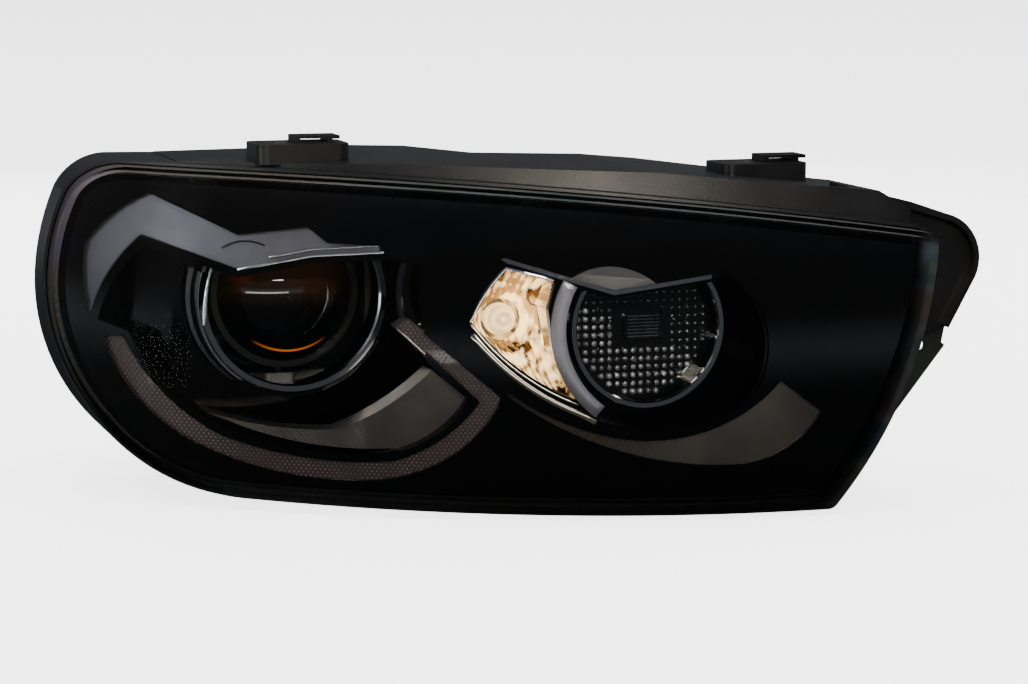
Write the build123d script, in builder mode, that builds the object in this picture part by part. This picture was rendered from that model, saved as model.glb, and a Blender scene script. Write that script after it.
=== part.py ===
"""Car headlight assembly for one front corner of a car: a swivelling, self-levelling projector lamp and a fixed
side lamp behind one swept clear cover, on a black housing with bayonet service caps.

Frame: +X runs inboard, +Y rearwards and +Z up. The origin is the centre of the main upper bolt hole, on the top
face of its bracket. Everything hangs below that bolt, the projector's optical axis almost straight under it.
Sketches on a depth plane use X and Z, and are extruded forwards, which is -Y.
"""

import os
from math import atan2, cos, degrees, radians, sin

from build123d import *

os.makedirs("parts", exist_ok=True)

# ---------------------------------------------------------------- driving dimensions, mm and degrees
INBOARD_END = 317.0  # X of the cover's upper inboard corner
COVER_BOTTOM = -184.0  # Z of the cover's lower edge
HOUSING_BACK = 88.0  # Y of the housing's flat rear wall
COVER_WALL = 3.0
COVER_CORNER = 6.0
COVER_DEPTH = 26.0  # how far the cover's side walls run back from its face
HOUSING_WALL = 3.0
SEAL_BEAD = 5.0  # depth of the bead under the cover's wall
CHANNEL_LIP = 1.4
CHANNEL_GAP = 0.8  # bead width on each side of the cover's wall
RUNNING = 0.08  # radial clearance of a shaft that turns
MOUNT_HOLE_R = 3.25
SLEEVE_WALL = 1.75

FACE_R = 596.0  # plan radius of the cover's face
FACE_CENTRE = (301.0, 445.0)
CORNER_R = 312.0  # plan radius of the outboard wrap
CORNER_START = 236.2  # plan angle where the wrap leaves the face
CROWN_Y = 310.0  # the face is crowned about this level line
CROWN_Z = -134.0

PROJECTOR_X = 3.5
PROJECTOR_Z = -80.0
LENS_R = 38.0
LENS_Y = 3.0  # front of the lens's flange
LENS_DOME = 19.0
LENS_FLANGE = 3.2
HOLDER_R = 40.0
SWIVEL_Y = 20.0  # the projector swivels about the upright line at this depth
TRIM_R = 50.5
TRIM_FRONT = -22.0
TRIM_BACK = 6.2  # back face of the bowl the ring is clipped to
FRAME_Y = 32.0
FRAME_THICK = 8.0
AIM_X = 62.0  # the inboard ball pivot
AIM_Z = -34.0
AIM_SPAN = 122.0  # from the ball pivot out to the horizontal adjuster
AIM_DROP = 106.0  # from the ball pivot down to the levelling spindle
AIM_Y = FRAME_Y + FRAME_THICK / 2
BALL_R = 5.0
BALL_GAP = 0.4
CAP_R = 51.0

SIDE_X = 171.0
SIDE_Z = -92.0
SIDE_FRONT = -105.0
SIDE_R = 42.0
SIDE_TUBE = 35.0
SIDE_CAP_R = 33.0
SIDE_CAP_Y = 52.0

BEZEL_INSET = 10.0
BEZEL_MARGIN = 8.0
BEZEL_WALL = 2.5
GUIDE_THICK = 9.0
TRIM_GAP = 0.4
OPENING_LAP = 1.0  # how far the bezel's openings overlap the pieces clipped behind them

SKIRT_DEPTH = 42.0  # where the bezel's skirt ends, straight back from the cover's face
TRAY_WALL = 2.5
BROW_WALL = 2.2
BOWL_WALL = 2.0
BOWL_BACK = TRIM_BACK - BOWL_WALL

SIDE_WALL_Y = 40.0  # outer face of the wall behind the side lamp
CAP_SEAT_Y = HOUSING_BACK + 16
WING_Y = -95.0
INNER_MOUNT_X = 245.0
INNER_MOUNT_Y = -50.0
INNER_MOUNT_Z = -12.0
PEG_X = -24.0
PEG_Z = -163.0
MOTOR_NECK_R = 14.0
MOTOR_R = 23.0
ADJUSTER_R = 4.0
GEAR_X = 17.0
GEAR_Z = -161.0
VENT_X = -84.0
VENT_Z = -34.0
VENT_BORE = 4.0
PLUG_X = 78.0
PLUG_Z = -66.0
STUD_R = 4.0
POST_FRONT = AIM_Y + 14
SCREW_R = 2.0
CAP_GAP = 0.4
SEAL_DEPTH = 3.0
BALLAST_X = -82.0
BALLAST_Z = -89.0
DRIVER_X = 168.0
DRIVER_Z = -152.0
SIDE_MOUNT_X = 329.0
SIDE_MOUNT_Z = -109.0
SIDE_MOUNT_R = 3.25
SPINDLE_R = 4.0
NECK_R = 2.8
THREAD_R = 3.0
COLLAR_GAP = 0.15
WINDOW_X = 52.0  # half width of the carrier's window
WINDOW_Z = 47.0
LUG_Z = 45.0  # inner faces of the swivel lugs, from the optical axis
LUG_THICK = 8.0
PIN_R = 3.0
SOCKET_R = 7.6
BOSS_R = 10.3
BOSS_HALF = 6.0
SHUTTER_DROP = 32.0
SHUTTER_Y = 31.0
SHUTTER_SHAFT_R = 1.5
FLANGE_R = 45.0
SECTOR_R = 26.0
PINION_R = 6.0
MESH_Y = SWIVEL_Y + SECTOR_R + PINION_R
SHELF_Z = -143.0
TURN_BACK = -42.0
TURN_X = 104.0
TURN_Z = -90.0
TURN_BORE = 10.0
SIDE_BOWL_BACK = -94.0
SIDE_BULB_Y = -34.0
SIDE_BORE = 11.0
# Screws of the bezel: X, Z and the Z of the wall each one's block grows from.
BEZEL_SITES = (
    (-36, -27, -11.5),
    (120, -36, -12.5),
    (215, -46, -17.5),
    (-6, -166, -184),
    (120, -169, -186.5),
    (225, -169, -186.5),
)

FRONT_LIMIT = -230.0  # ahead of every piece
PRISM_BACK = 140.0  # behind every curved piece


def at_depth(y):
    """The upright plane at depth y, facing forwards, with X across and Z up."""
    return Plane.XZ.offset(-y)


def lamp_plane(x, z):
    """The level plane through a lamp's optical axis. Its sketches use radius across and depth up."""
    return Plane(origin=(x, 0, z))


def lamp_axis(x, z):
    """A lamp's optical axis."""
    return Axis((x, 0, z), (0, 1, 0))


def ahead_of_face(inset, back_by=0.0):
    """All the space ahead of the cover's face, after the face is moved in by inset and straight back by back_by."""
    joint = radians(CORNER_START)
    corner_x = FACE_CENTRE[0] + (FACE_R - CORNER_R) * cos(joint)
    corner_y = FACE_CENTRE[1] + (FACE_R - CORNER_R) * sin(joint) - CROWN_Y
    tilt_up, sweep_angle = 50, 85
    start = Plane(origin=(0, CROWN_Y + back_by, CROWN_Z)).rotated((-tilt_up, 0, 0))
    with BuildPart() as space:
        with BuildSketch(start):
            with BuildLine():
                wrap = CenterArc((corner_x, corner_y), CORNER_R - inset, 200, CORNER_START - 200)
                face_centre = (FACE_CENTRE[0], FACE_CENTRE[1] - CROWN_Y)
                face = CenterArc(face_centre, FACE_R - inset, CORNER_START, 285 - CORNER_START)
                Polyline(face @ 1, ((face @ 1).X, -760), (-320, -760), (-320, (wrap @ 0).Y), wrap @ 0)
            make_face()
        revolve(axis=Axis((0, CROWN_Y + back_by, CROWN_Z), (1, 0, 0)), revolution_arc=sweep_angle)
    return space.part


# ---------------------------------------------------------------- outlines, X across and Z up
INBOARD_FOOT = INBOARD_END - 59
TOP_OUTBOARD = (-78, -12)
BOTTOM_OUTBOARD = (-30, COVER_BOTTOM + 3.5)

with BuildSketch() as cover_outline:
    with BuildLine():
        top_edge = ThreePointArc(TOP_OUTBOARD, (INBOARD_END - 207, -20.5), (INBOARD_END, -44))
        inboard_edge = ThreePointArc(top_edge @ 1, (INBOARD_END - 12, -97), (INBOARD_FOOT, COVER_BOTTOM))
        bottom_edge = ThreePointArc(inboard_edge @ 1, (INBOARD_END - 202, COVER_BOTTOM - 0.6),
            BOTTOM_OUTBOARD)
        lower_sweep = TangentArc(BOTTOM_OUTBOARD, (-84, COVER_BOTTOM + 28), tangent=bottom_edge % 1)
        outboard_end = TangentArc(lower_sweep @ 1, (-114, -72), tangent=lower_sweep % 1)
        upper_sweep = TangentArc(outboard_end @ 1, (-103, -28), tangent=outboard_end % 1)
        ThreePointArc(upper_sweep @ 1, (-93, -17), TOP_OUTBOARD)
    make_face()

with BuildSketch() as housing_outline:
    add(cover_outline.sketch)
    offset(amount=CHANNEL_GAP + CHANNEL_LIP, kind=Kind.INTERSECTION)
    with BuildLine():
        Polyline(
            (-50, -10),
            (60, -9),
            (180, -13),
            (INBOARD_END - 19, -24),
            (INBOARD_END - 2, -34),
            (INBOARD_END - 2, -60),
            (-20, -50),
            close=True,
        )
    make_face()

with BuildSketch() as guide_outline:
    with BuildLine():
        outer_sweep = ThreePointArc((-92, -101), (-76.5, -134), (-46, -157.5))
        outer_run = TangentArc(outer_sweep @ 1, (38, -170), tangent=outer_sweep % 1)
        outer_turn = ThreePointArc(outer_run @ 1, (68, -158), (92, -131))
        outer_arm = Line(outer_turn @ 1, (94, -125))
        arm_edge = Line(outer_arm @ 1, (50, -85.5))
        arm_end = Line(arm_edge @ 1, (43.5, -90))
        inner_arm = Line(arm_end @ 1, (81, -127.5))
        inner_turn = ThreePointArc(inner_arm @ 1, (64, -146), (42, -158))
        inner_run = ThreePointArc(inner_turn @ 1, (1, -158), (-38, -148.5))
        inner_sweep = ThreePointArc(inner_run @ 1, (-65, -127), (-81, -100))
        Line(inner_sweep @ 1, outer_sweep @ 0)
    make_face()

with BuildSketch() as brow_outline:
    with BuildLine():
        outboard_edge = ThreePointArc((-97.5, -93), (-99.5, -72), (-97.5, -53))
        crest = ThreePointArc(outboard_edge @ 1, (-83, -35.5), (-67, -24.5))
        Polyline(crest @ 1, (-28, -44), (5, -39), (14, -47), (39, -48), (39, -52.5), (6, -55), (-29,
            -63.5), (-71, -48.5))
        ThreePointArc((-71, -48.5), (-84, -65), (-95.5, -93))
        Line((-95.5, -93), (-97.5, -93))
    make_face()

with BuildSketch() as bowl_outline:
    with BuildLine():
        lower_sweep = ThreePointArc((-80, -99), (-64.5, -125), (-37.5, -146))
        lower_rim = ThreePointArc(lower_sweep @ 1, (1, -156.5), (41, -156.5))
        lip = ThreePointArc(lower_rim @ 1, (63, -145), (79.5, -127.5))
        Polyline(lip @ 1, (58, -103.5), (58, -56), (38, -55), (6, -57.5), (-29, -66), (-70, -51.5))
        ThreePointArc((-70, -51.5), (-83, -67), (-94, -94))
        Line((-94, -94), lower_sweep @ 0)
    make_face()

with BuildSketch() as lower_scoop_outline:
    with BuildLine():
        sill = ThreePointArc((-43, -139), (-14, -144.5), (18, -145))
        rise = ThreePointArc(sill @ 1, (42, -130.5), (62, -112.5))
        end = Line(rise @ 1, (77.5, -126.5))
        turn_back = ThreePointArc(end @ 1, (63, -144), (46, -153.5))
        ThreePointArc(turn_back @ 1, (2, -152.5), (-43, -139))
    make_face()

with BuildSketch() as side_scoop_outline:
    with BuildLine():
        lip_rise = ThreePointArc((81, -107.5), (111, -131), (150, -145))
        inner_lip = TangentArc(lip_rise @ 1, (232, -116), tangent=lip_rise % 1)
        scoop_end = Line(inner_lip @ 1, (255, -133.5))
        outer_lip = ThreePointArc(scoop_end @ 1, (235, -154), (208, -161.5))
        sweep_back = ThreePointArc(outer_lip @ 1, (150, -153.5), (97, -126.5))
        Line(sweep_back @ 1, lip_rise @ 0)
    make_face()

with BuildSketch() as turn_outline:
    with BuildLine():
        Polyline((78, -87), (86, -71), (97, -58.5), (121, -65), (117, -80), (119, -100), (130, -122),
            (130, -128))
        ThreePointArc((130, -128), (101, -111.5), (78, -87))
    make_face()

with BuildSketch() as side_bowl_outline:
    with BuildLine():
        Polyline((124.5, -66.5), (148, -73), (197, -65.5), (207, -60))
        ThreePointArc((207, -60), (227, -95), (214, -131))
        ThreePointArc((214, -131), (174, -143.5), (134, -137))
        Polyline((134, -137), (133.5, -121), (122.5, -100), (120.5, -80.5), (124.5, -66.5))
    make_face()

with BuildSketch() as side_brow_outline:
    with BuildLine():
        Polyline((94, -54.5), (96, -54), (148, -70.2), (197, -62.5), (197, -64.5), (148, -72.4), (96.6,
            -56.4), close=True)
    make_face()



def depth_of_face(x, z, back_by):
    """Y of the cover's face at x and z, moved straight back by back_by."""
    corner_limit = FACE_CENTRE[0] + FACE_R * cos(radians(CORNER_START))
    corner_x = FACE_CENTRE[0] + (FACE_R - CORNER_R) * cos(radians(CORNER_START))
    corner_y = FACE_CENTRE[1] + (FACE_R - CORNER_R) * sin(radians(CORNER_START))
    if x < corner_limit:
        plan_y = corner_y - (CORNER_R**2 - (x - corner_x) ** 2) ** 0.5
    else:
        plan_y = FACE_CENTRE[1] - (FACE_R**2 - (x - FACE_CENTRE[0]) ** 2) ** 0.5
    return CROWN_Y - ((CROWN_Y - plan_y) ** 2 - (z - CROWN_Z) ** 2) ** 0.5 + back_by


def run_of(outline, grow, front=None, back=None, corner=0.0):
    """The outline grown by grow, run from behind the front space to the end of the back space.

    Its two inboard corners can be rounded, by the corner radius the outline would have before it is grown.
    """
    with BuildPart() as run:
        with BuildSketch(at_depth(PRISM_BACK)) as section:
            add(outline.sketch)
            if grow:
                offset(amount=grow, kind=Kind.INTERSECTION if corner else Kind.ARC)
            if corner:
                fillet(section.vertices().sort_by(Axis.X)[-2:], radius=max(corner + grow, 1))
        extrude(amount=PRISM_BACK - FRONT_LIMIT)
        if front is not None:
            add(front, mode=Mode.SUBTRACT)
        if back is not None:
            add(back, mode=Mode.INTERSECT)
    return run.part


def rod(x, z, radius, front, back):
    """A round bar along Y."""
    with BuildPart() as bar:
        with BuildSketch(at_depth(back)):
            with Locations((x, z)):
                Circle(radius)
        extrude(amount=back - front)
    return bar.part


def tube(x, z, outer, inner, front, back):
    """A round tube along Y."""
    with BuildPart() as pipe:
        with BuildSketch(at_depth(back)):
            with Locations((x, z)):
                Circle(outer)
                Circle(inner, mode=Mode.SUBTRACT)
        extrude(amount=back - front)
    return pipe.part


def turned(x, z, *points):
    """A solid turned about the lamp axis at x and z from points of radius and depth."""
    with BuildPart() as body:
        with BuildSketch(lamp_plane(x, z)):
            with BuildLine():
                Polyline(*points, close=True)
            make_face()
        revolve(axis=lamp_axis(x, z))
    return body.part


# ---------------------------------------------------------------- spaces ahead of the cover's face
ahead_of_cover = ahead_of_face(0)
ahead_of_cover_inside = ahead_of_face(COVER_WALL)
ahead_of_rim = ahead_of_face(0, COVER_DEPTH)
ahead_of_bead = ahead_of_face(0, COVER_DEPTH + SEAL_BEAD)
ahead_of_floor = ahead_of_face(0, COVER_DEPTH + SEAL_BEAD + HOUSING_WALL)
ahead_of_outer_lip = ahead_of_face(0, COVER_DEPTH - 10)
ahead_of_inner_lip = ahead_of_face(0, COVER_DEPTH - 4)
ahead_of_bezel = ahead_of_face(BEZEL_INSET)
ahead_of_bezel_back = ahead_of_face(BEZEL_INSET + BEZEL_WALL)
ahead_of_skirt_end = ahead_of_face(0, SKIRT_DEPTH)
ahead_of_guide_back = ahead_of_face(BEZEL_INSET + BEZEL_WALL + GUIDE_THICK)
ahead_of_tray_back = ahead_of_face(BEZEL_INSET + BEZEL_WALL + GUIDE_THICK + TRAY_WALL)
ahead_of_brow_skin = ahead_of_face(BEZEL_INSET + BEZEL_WALL + BROW_WALL)
ahead_of_brow_back = ahead_of_face(22)
ahead_of_brow_seat = ahead_of_face(22.4)
ahead_of_guide_seat = ahead_of_face(BEZEL_INSET + BEZEL_WALL + GUIDE_THICK + TRIM_GAP)
ahead_of_brow_line = ahead_of_face(BEZEL_INSET - 1.8)
ahead_of_side_scoop_skin = ahead_of_face(BEZEL_INSET + BEZEL_WALL + BROW_WALL)
ahead_of_scoop = ahead_of_face(18)
ahead_of_scoop_skin = ahead_of_face(20.4)
ahead_of_scoop_back = ahead_of_face(34)
ahead_of_bowl_well = ahead_of_face(24)
ahead_of_bowl_back = ahead_of_face(24 + BOWL_WALL)

with BuildSketch() as rear_plan:
    Polygon(
        (-160, FRONT_LIMIT),
        (-160, HOUSING_BACK),
        (92, HOUSING_BACK),
        (118, SIDE_WALL_Y),
        (212, SIDE_WALL_Y),
        (290, -36),
        (380, -60),
        (380, FRONT_LIMIT),
        align=None,
    )

with BuildPart() as ahead_of_rear:
    with BuildSketch(Plane.XY.offset(-260)):
        add(rear_plan.sketch)
    extrude(amount=320)

with BuildPart() as ahead_of_rear_inside:
    with BuildSketch(Plane.XY.offset(-260)):
        add(rear_plan.sketch)
        offset(amount=-HOUSING_WALL)
    extrude(amount=320)

# ---------------------------------------------------------------- clear front cover
cover_solid = run_of(cover_outline, 0, ahead_of_cover, ahead_of_rim, COVER_CORNER)
cover_hollow = run_of(cover_outline, -COVER_WALL, ahead_of_cover_inside, None, COVER_CORNER)

with BuildPart() as front_cover:
    add(cover_solid)
    add(cover_hollow, mode=Mode.SUBTRACT)
front_cover.part.label = "front_cover"
export_step(front_cover.part, "parts/front_cover.step")

# ---------------------------------------------------------------- sealing bead between cover and housing
bead_outer = run_of(cover_outline, CHANNEL_GAP, ahead_of_rim, ahead_of_bead, COVER_CORNER)
bead_hole = run_of(cover_outline, -COVER_WALL - CHANNEL_GAP, None, None, COVER_CORNER)

with BuildPart() as cover_seal:
    add(bead_outer)
    add(bead_hole, mode=Mode.SUBTRACT)
cover_seal.part.label = "cover_seal"
export_step(cover_seal.part, "parts/cover_seal.step")

# ---------------------------------------------------------------- housing
LIP_IN = -COVER_WALL - CHANNEL_GAP
housing_body = run_of(housing_outline, 0, ahead_of_bead, ahead_of_rear.part)
housing_cavity = run_of(housing_outline, -HOUSING_WALL, ahead_of_floor, ahead_of_rear_inside.part)
outer_lip = run_of(cover_outline, CHANNEL_GAP + CHANNEL_LIP, ahead_of_outer_lip, ahead_of_bead,
    COVER_CORNER)
outer_lip_hole = run_of(cover_outline, CHANNEL_GAP, None, ahead_of_bead, COVER_CORNER)
inner_lip = run_of(cover_outline, LIP_IN, ahead_of_inner_lip, ahead_of_bead, COVER_CORNER)
mouth = run_of(cover_outline, LIP_IN - CHANNEL_LIP, None, ahead_of_floor, COVER_CORNER)

with BuildPart() as housing:
    add(outer_lip)
    add(outer_lip_hole, mode=Mode.SUBTRACT)
    add(inner_lip)
    add(housing_body)
    # Wing that laps behind the grille, with its stiffening lip.
    with BuildSketch(at_depth(WING_Y + 3)):
        with BuildLine():
            wing_top = Polyline((276, -20), (319, -31), (340, -38))
            wing_nose = ThreePointArc(wing_top @ 1, (357, -52), (357, -72))
            Polyline(wing_nose @ 1, (342, -99), (294, -118), (276, -20))
        make_face()
    extrude(amount=3)
    with BuildSketch(at_depth(WING_Y)):
        with BuildLine():
            lip_top = Polyline((300, -26.2), (319, -31), (340, -38))
            lip_nose = ThreePointArc(lip_top @ 1, (357, -52), (357, -72))
            Polyline(lip_nose @ 1, (342, -99), (340, -97.5), (354, -72))
            lip_inner = ThreePointArc((354, -72), (354.4, -53.5), (339, -41))
            Polyline(lip_inner @ 1, (300, -29.5), (300, -26.2))
        make_face()
    extrude(amount=6)
    # Pads of the two upper mounts.
    with BuildSketch(Plane.XY.offset(-10.4)):
        with Locations((11, 0)):
            RectangleRounded(50, 34, 6)
    extrude(amount=10.4)
    with BuildSketch(Plane.XY.offset(-40)):
        with Locations((INNER_MOUNT_X + 6, INNER_MOUNT_Y)):
            RectangleRounded(48, 34, 6)
    extrude(amount=40 + INNER_MOUNT_Z)
    # Locating peg low on the rear wall.
    with BuildSketch(at_depth(HOUSING_BACK + 24)):
        with Locations((PEG_X, PEG_Z)):
            Circle(6)
    extrude(amount=26)
    # Collars of the two service openings.
    with BuildSketch(at_depth(CAP_SEAT_Y)):
        with Locations((PROJECTOR_X, PROJECTOR_Z)):
            Circle(CAP_R)
    extrude(amount=CAP_SEAT_Y - HOUSING_BACK + 1)
    with BuildSketch(at_depth(SIDE_CAP_Y)):
        with Locations((SIDE_X, SIDE_Z)):
            Circle(SIDE_CAP_R)
    extrude(amount=SIDE_CAP_Y - SIDE_WALL_Y + 1)
    add(mouth, mode=Mode.SUBTRACT)
    add(housing_cavity, mode=Mode.SUBTRACT)
    # Service openings.
    with BuildSketch(at_depth(CAP_SEAT_Y)):
        with Locations((PROJECTOR_X, PROJECTOR_Z)):
            Circle(CAP_R - HOUSING_WALL)
    extrude(amount=CAP_SEAT_Y - HOUSING_BACK + HOUSING_WALL, mode=Mode.SUBTRACT)
    with BuildSketch(at_depth(SIDE_CAP_Y)):
        with Locations((SIDE_X, SIDE_Z)):
            Circle(SIDE_CAP_R - HOUSING_WALL)
    extrude(amount=SIDE_CAP_Y - SIDE_WALL_Y + HOUSING_WALL, mode=Mode.SUBTRACT)
    # Openings for the levelling motor's neck, the two adjusters and the breather.
    with BuildSketch(at_depth(HOUSING_BACK)):
        with Locations((AIM_X, AIM_Z - AIM_DROP)):
            Circle(MOTOR_NECK_R + RUNNING)
        with Locations((AIM_X - AIM_SPAN, AIM_Z), (GEAR_X, GEAR_Z)):
            Circle(ADJUSTER_R + RUNNING)
        with Locations((VENT_X, VENT_Z)):
            Circle(VENT_BORE)
        with Locations((PLUG_X, PLUG_Z)):
            Rectangle(18, 24)
    extrude(amount=HOUSING_WALL, mode=Mode.SUBTRACT)
    # Post of the ball pivot.
    with BuildSketch(at_depth(HOUSING_BACK)):
        with Locations((AIM_X, AIM_Z)):
            Circle(7.5)
    extrude(amount=HOUSING_BACK - POST_FRONT)
    with BuildSketch(at_depth(POST_FRONT + 22)):
        with Locations((AIM_X, AIM_Z)):
            Circle(STUD_R)
    extrude(amount=22, mode=Mode.SUBTRACT)
    # Blocks the bezel is screwed to, each grown from the nearest wall.
    for x, z, wall_z in BEZEL_SITES:
        seat = depth_of_face(x, z, SKIRT_DEPTH)
        inner_z = z + (6.5 if wall_z < z else -6.5)
        with BuildSketch(at_depth(seat + 14)):
            with Locations((x, (inner_z + wall_z) / 2)):
                Rectangle(13, abs(inner_z - wall_z))
        extrude(amount=14)
        with BuildSketch(at_depth(seat + 10)):
            with Locations((x, z)):
                Circle(SCREW_R)
        extrude(amount=10, mode=Mode.SUBTRACT)
    # Bores of the mounts.
    with BuildSketch(Plane.XY.offset(-8)):
        Circle(MOUNT_HOLE_R + SLEEVE_WALL)
    extrude(amount=8, mode=Mode.SUBTRACT)
    with BuildSketch(Plane.XY.offset(INNER_MOUNT_Z - 8)):
        with Locations((INNER_MOUNT_X, INNER_MOUNT_Y)):
            Circle(MOUNT_HOLE_R + SLEEVE_WALL)
    extrude(amount=8, mode=Mode.SUBTRACT)
housing.part.label = "housing"
export_step(housing.part, "parts/housing.step")

# ---------------------------------------------------------------- steel sleeves of the two upper mounts
with BuildPart() as mount_sleeves:
    for x, y, z in ((0, 0, 0), (INNER_MOUNT_X, INNER_MOUNT_Y, INNER_MOUNT_Z)):
        with BuildSketch(Plane.XY.offset(z - 8)):
            with Locations((x, y)):
                Circle(MOUNT_HOLE_R + SLEEVE_WALL)
                Circle(MOUNT_HOLE_R, mode=Mode.SUBTRACT)
        extrude(amount=8)
mount_sleeves.part.label = "mount_sleeves"
export_step(mount_sleeves.part, "parts/mount_sleeves.step")

# ---------------------------------------------------------------- spring clips slid over the two upper pads
with BuildPart() as spring_clips:
    for x, y, z in ((14, 0, 0), (INNER_MOUNT_X + 13, INNER_MOUNT_Y, INNER_MOUNT_Z)):
        with BuildSketch(Plane.XZ.offset(-y - 9)):
            with Locations((x + 4, z + 1.9)):
                Rectangle(20, 3.8)
            with Locations((x + 4, z + 1.5)):
                Rectangle(15, 1.6, mode=Mode.SUBTRACT)
            with Locations((x + 14, z + 2.9)):
                Rectangle(8, 1.8)
        extrude(amount=18)
spring_clips.part.label = "spring_clips"
export_step(spring_clips.part, "parts/spring_clips.step")

# ---------------------------------------------------------------- side bracket under the wing
housing_side = run_of(housing_outline, 0)
with BuildPart() as side_bracket:
    with BuildSketch(at_depth(WING_Y + 5.5)):
        with BuildLine():
            outer_run = Polyline((300, -86), (344, -98), (342, -108), (322, -133), (314, -143), (298, -166))
            ThreePointArc(outer_run @ 1, (290, -164), (287, -156))
            Line((287, -156), (300, -86))
        make_face()
        with Locations((SIDE_MOUNT_X, SIDE_MOUNT_Z)):
            Circle(SIDE_MOUNT_R, mode=Mode.SUBTRACT)
        with Locations((304, -128)):
            SlotCenterToCenter(18, 7, rotation=70, mode=Mode.SUBTRACT)
    extrude(amount=2.5)
    with BuildSketch(at_depth(WING_Y + 12)):
        with BuildLine():
            Polyline((342, -108), (322, -133), (314, -143), (316, -144.5), (324, -134.5), (344, -109.5),
                close=True)
        make_face()
    extrude(amount=9)
    add(housing_side, mode=Mode.SUBTRACT)
side_bracket.part.label = "side_bracket"
export_step(side_bracket.part, "parts/side_bracket.step")

# ---------------------------------------------------------------- service caps and their seals
cap_profile = (
    (CAP_R + CAP_GAP, CAP_SEAT_Y - 9),
    (CAP_R + 4.5, CAP_SEAT_Y - 9),
    (CAP_R + 4.5, CAP_SEAT_Y + 16),
    (CAP_R - 1, CAP_SEAT_Y + 22),
    (0, CAP_SEAT_Y + 22),
    (0, CAP_SEAT_Y + 19),
    (CAP_R - 3, CAP_SEAT_Y + 19),
    (CAP_R - 3, CAP_SEAT_Y + SEAL_DEPTH),
    (CAP_R + CAP_GAP, CAP_SEAT_Y + SEAL_DEPTH),
)
cap_shell = turned(PROJECTOR_X, PROJECTOR_Z, *cap_profile)
with BuildPart() as projector_cap:
    add(cap_shell)
    with BuildSketch(at_depth(CAP_SEAT_Y + 14)):
        with Locations((PROJECTOR_X, PROJECTOR_Z)):
            with PolarLocations(CAP_R + 4.5, 12):
                Circle(2)
    extrude(amount=22)
    with BuildSketch(at_depth(CAP_SEAT_Y + 32)):
        with Locations((PROJECTOR_X, PROJECTOR_Z)):
            RectangleRounded(74, 12, 5)
    extrude(amount=11)
    add(rod(PROJECTOR_X, PROJECTOR_Z, CAP_R + CAP_GAP, CAP_SEAT_Y - 20, CAP_SEAT_Y + SEAL_DEPTH),
        mode=Mode.SUBTRACT)
projector_cap.part.label = "projector_cap"
export_step(projector_cap.part, "parts/projector_cap.step")

side_cap_shell = turned(
    SIDE_X,
    SIDE_Z,
    (SIDE_CAP_R + CAP_GAP, SIDE_CAP_Y - 8),
    (SIDE_CAP_R + 4, SIDE_CAP_Y - 8),
    (SIDE_CAP_R + 4, SIDE_CAP_Y + 9),
    (SIDE_CAP_R - 1, SIDE_CAP_Y + 14),
    (0, SIDE_CAP_Y + 14),
    (0, SIDE_CAP_Y + 11.5),
    (SIDE_CAP_R - 3, SIDE_CAP_Y + 11.5),
    (SIDE_CAP_R - 3, SIDE_CAP_Y + SEAL_DEPTH),
    (SIDE_CAP_R + CAP_GAP, SIDE_CAP_Y + SEAL_DEPTH),
)
with BuildPart() as side_cap:
    add(side_cap_shell)
    with BuildSketch(at_depth(SIDE_CAP_Y + 22)):
        with Locations((SIDE_X, SIDE_Z)):
            RectangleRounded(46, 9, 4)
    extrude(amount=9)
    with BuildSketch(at_depth(SIDE_CAP_Y + 8)):
        with Locations((SIDE_X, SIDE_Z)):
            with PolarLocations(SIDE_CAP_R + 4, 10):
                Circle(1.6)
    extrude(amount=15)
    add(rod(SIDE_X, SIDE_Z, SIDE_CAP_R + CAP_GAP, SIDE_CAP_Y - 20, SIDE_CAP_Y + SEAL_DEPTH),
        mode=Mode.SUBTRACT)
side_cap.part.label = "side_cap"
export_step(side_cap.part, "parts/side_cap.step")

projector_ring_seal = tube(PROJECTOR_X, PROJECTOR_Z, CAP_R, CAP_R - 3, CAP_SEAT_Y, CAP_SEAT_Y + SEAL_DEPTH)
side_ring_seal = tube(SIDE_X, SIDE_Z, SIDE_CAP_R, SIDE_CAP_R - 3, SIDE_CAP_Y, SIDE_CAP_Y + SEAL_DEPTH)
with BuildPart() as cap_seals:
    add(projector_ring_seal)
    add(side_ring_seal)
cap_seals.part.label = "cap_seals"
export_step(cap_seals.part, "parts/cap_seals.step")

# ---------------------------------------------------------------- ballast on the rear wall, with its screws
with BuildPart() as ballast:
    with BuildSketch(at_depth(HOUSING_BACK + 20)):
        with Locations((BALLAST_X, BALLAST_Z)):
            RectangleRounded(42, 74, 4)
    extrude(amount=20)
    with BuildSketch(at_depth(HOUSING_BACK + 23)):
        with Locations((BALLAST_X, BALLAST_Z)):
            with GridLocations(7, 0, 5, 1):
                Rectangle(2, 62)
    extrude(amount=3)
    with BuildSketch(at_depth(HOUSING_BACK + 16)):
        with Locations((BALLAST_X, BALLAST_Z - 44)):
            RectangleRounded(30, 16, 2)
    extrude(amount=12)
    with BuildSketch(at_depth(HOUSING_BACK + 3)):
        with Locations((BALLAST_X, BALLAST_Z + 40)):
            RectangleRounded(34, 11, 3)
        with Locations((BALLAST_X - 11, BALLAST_Z + 41), (BALLAST_X + 11, BALLAST_Z + 41)):
            Circle(SCREW_R + 0.15, mode=Mode.SUBTRACT)
    extrude(amount=3)
ballast.part.label = "ballast"
export_step(ballast.part, "parts/ballast.step")

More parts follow.
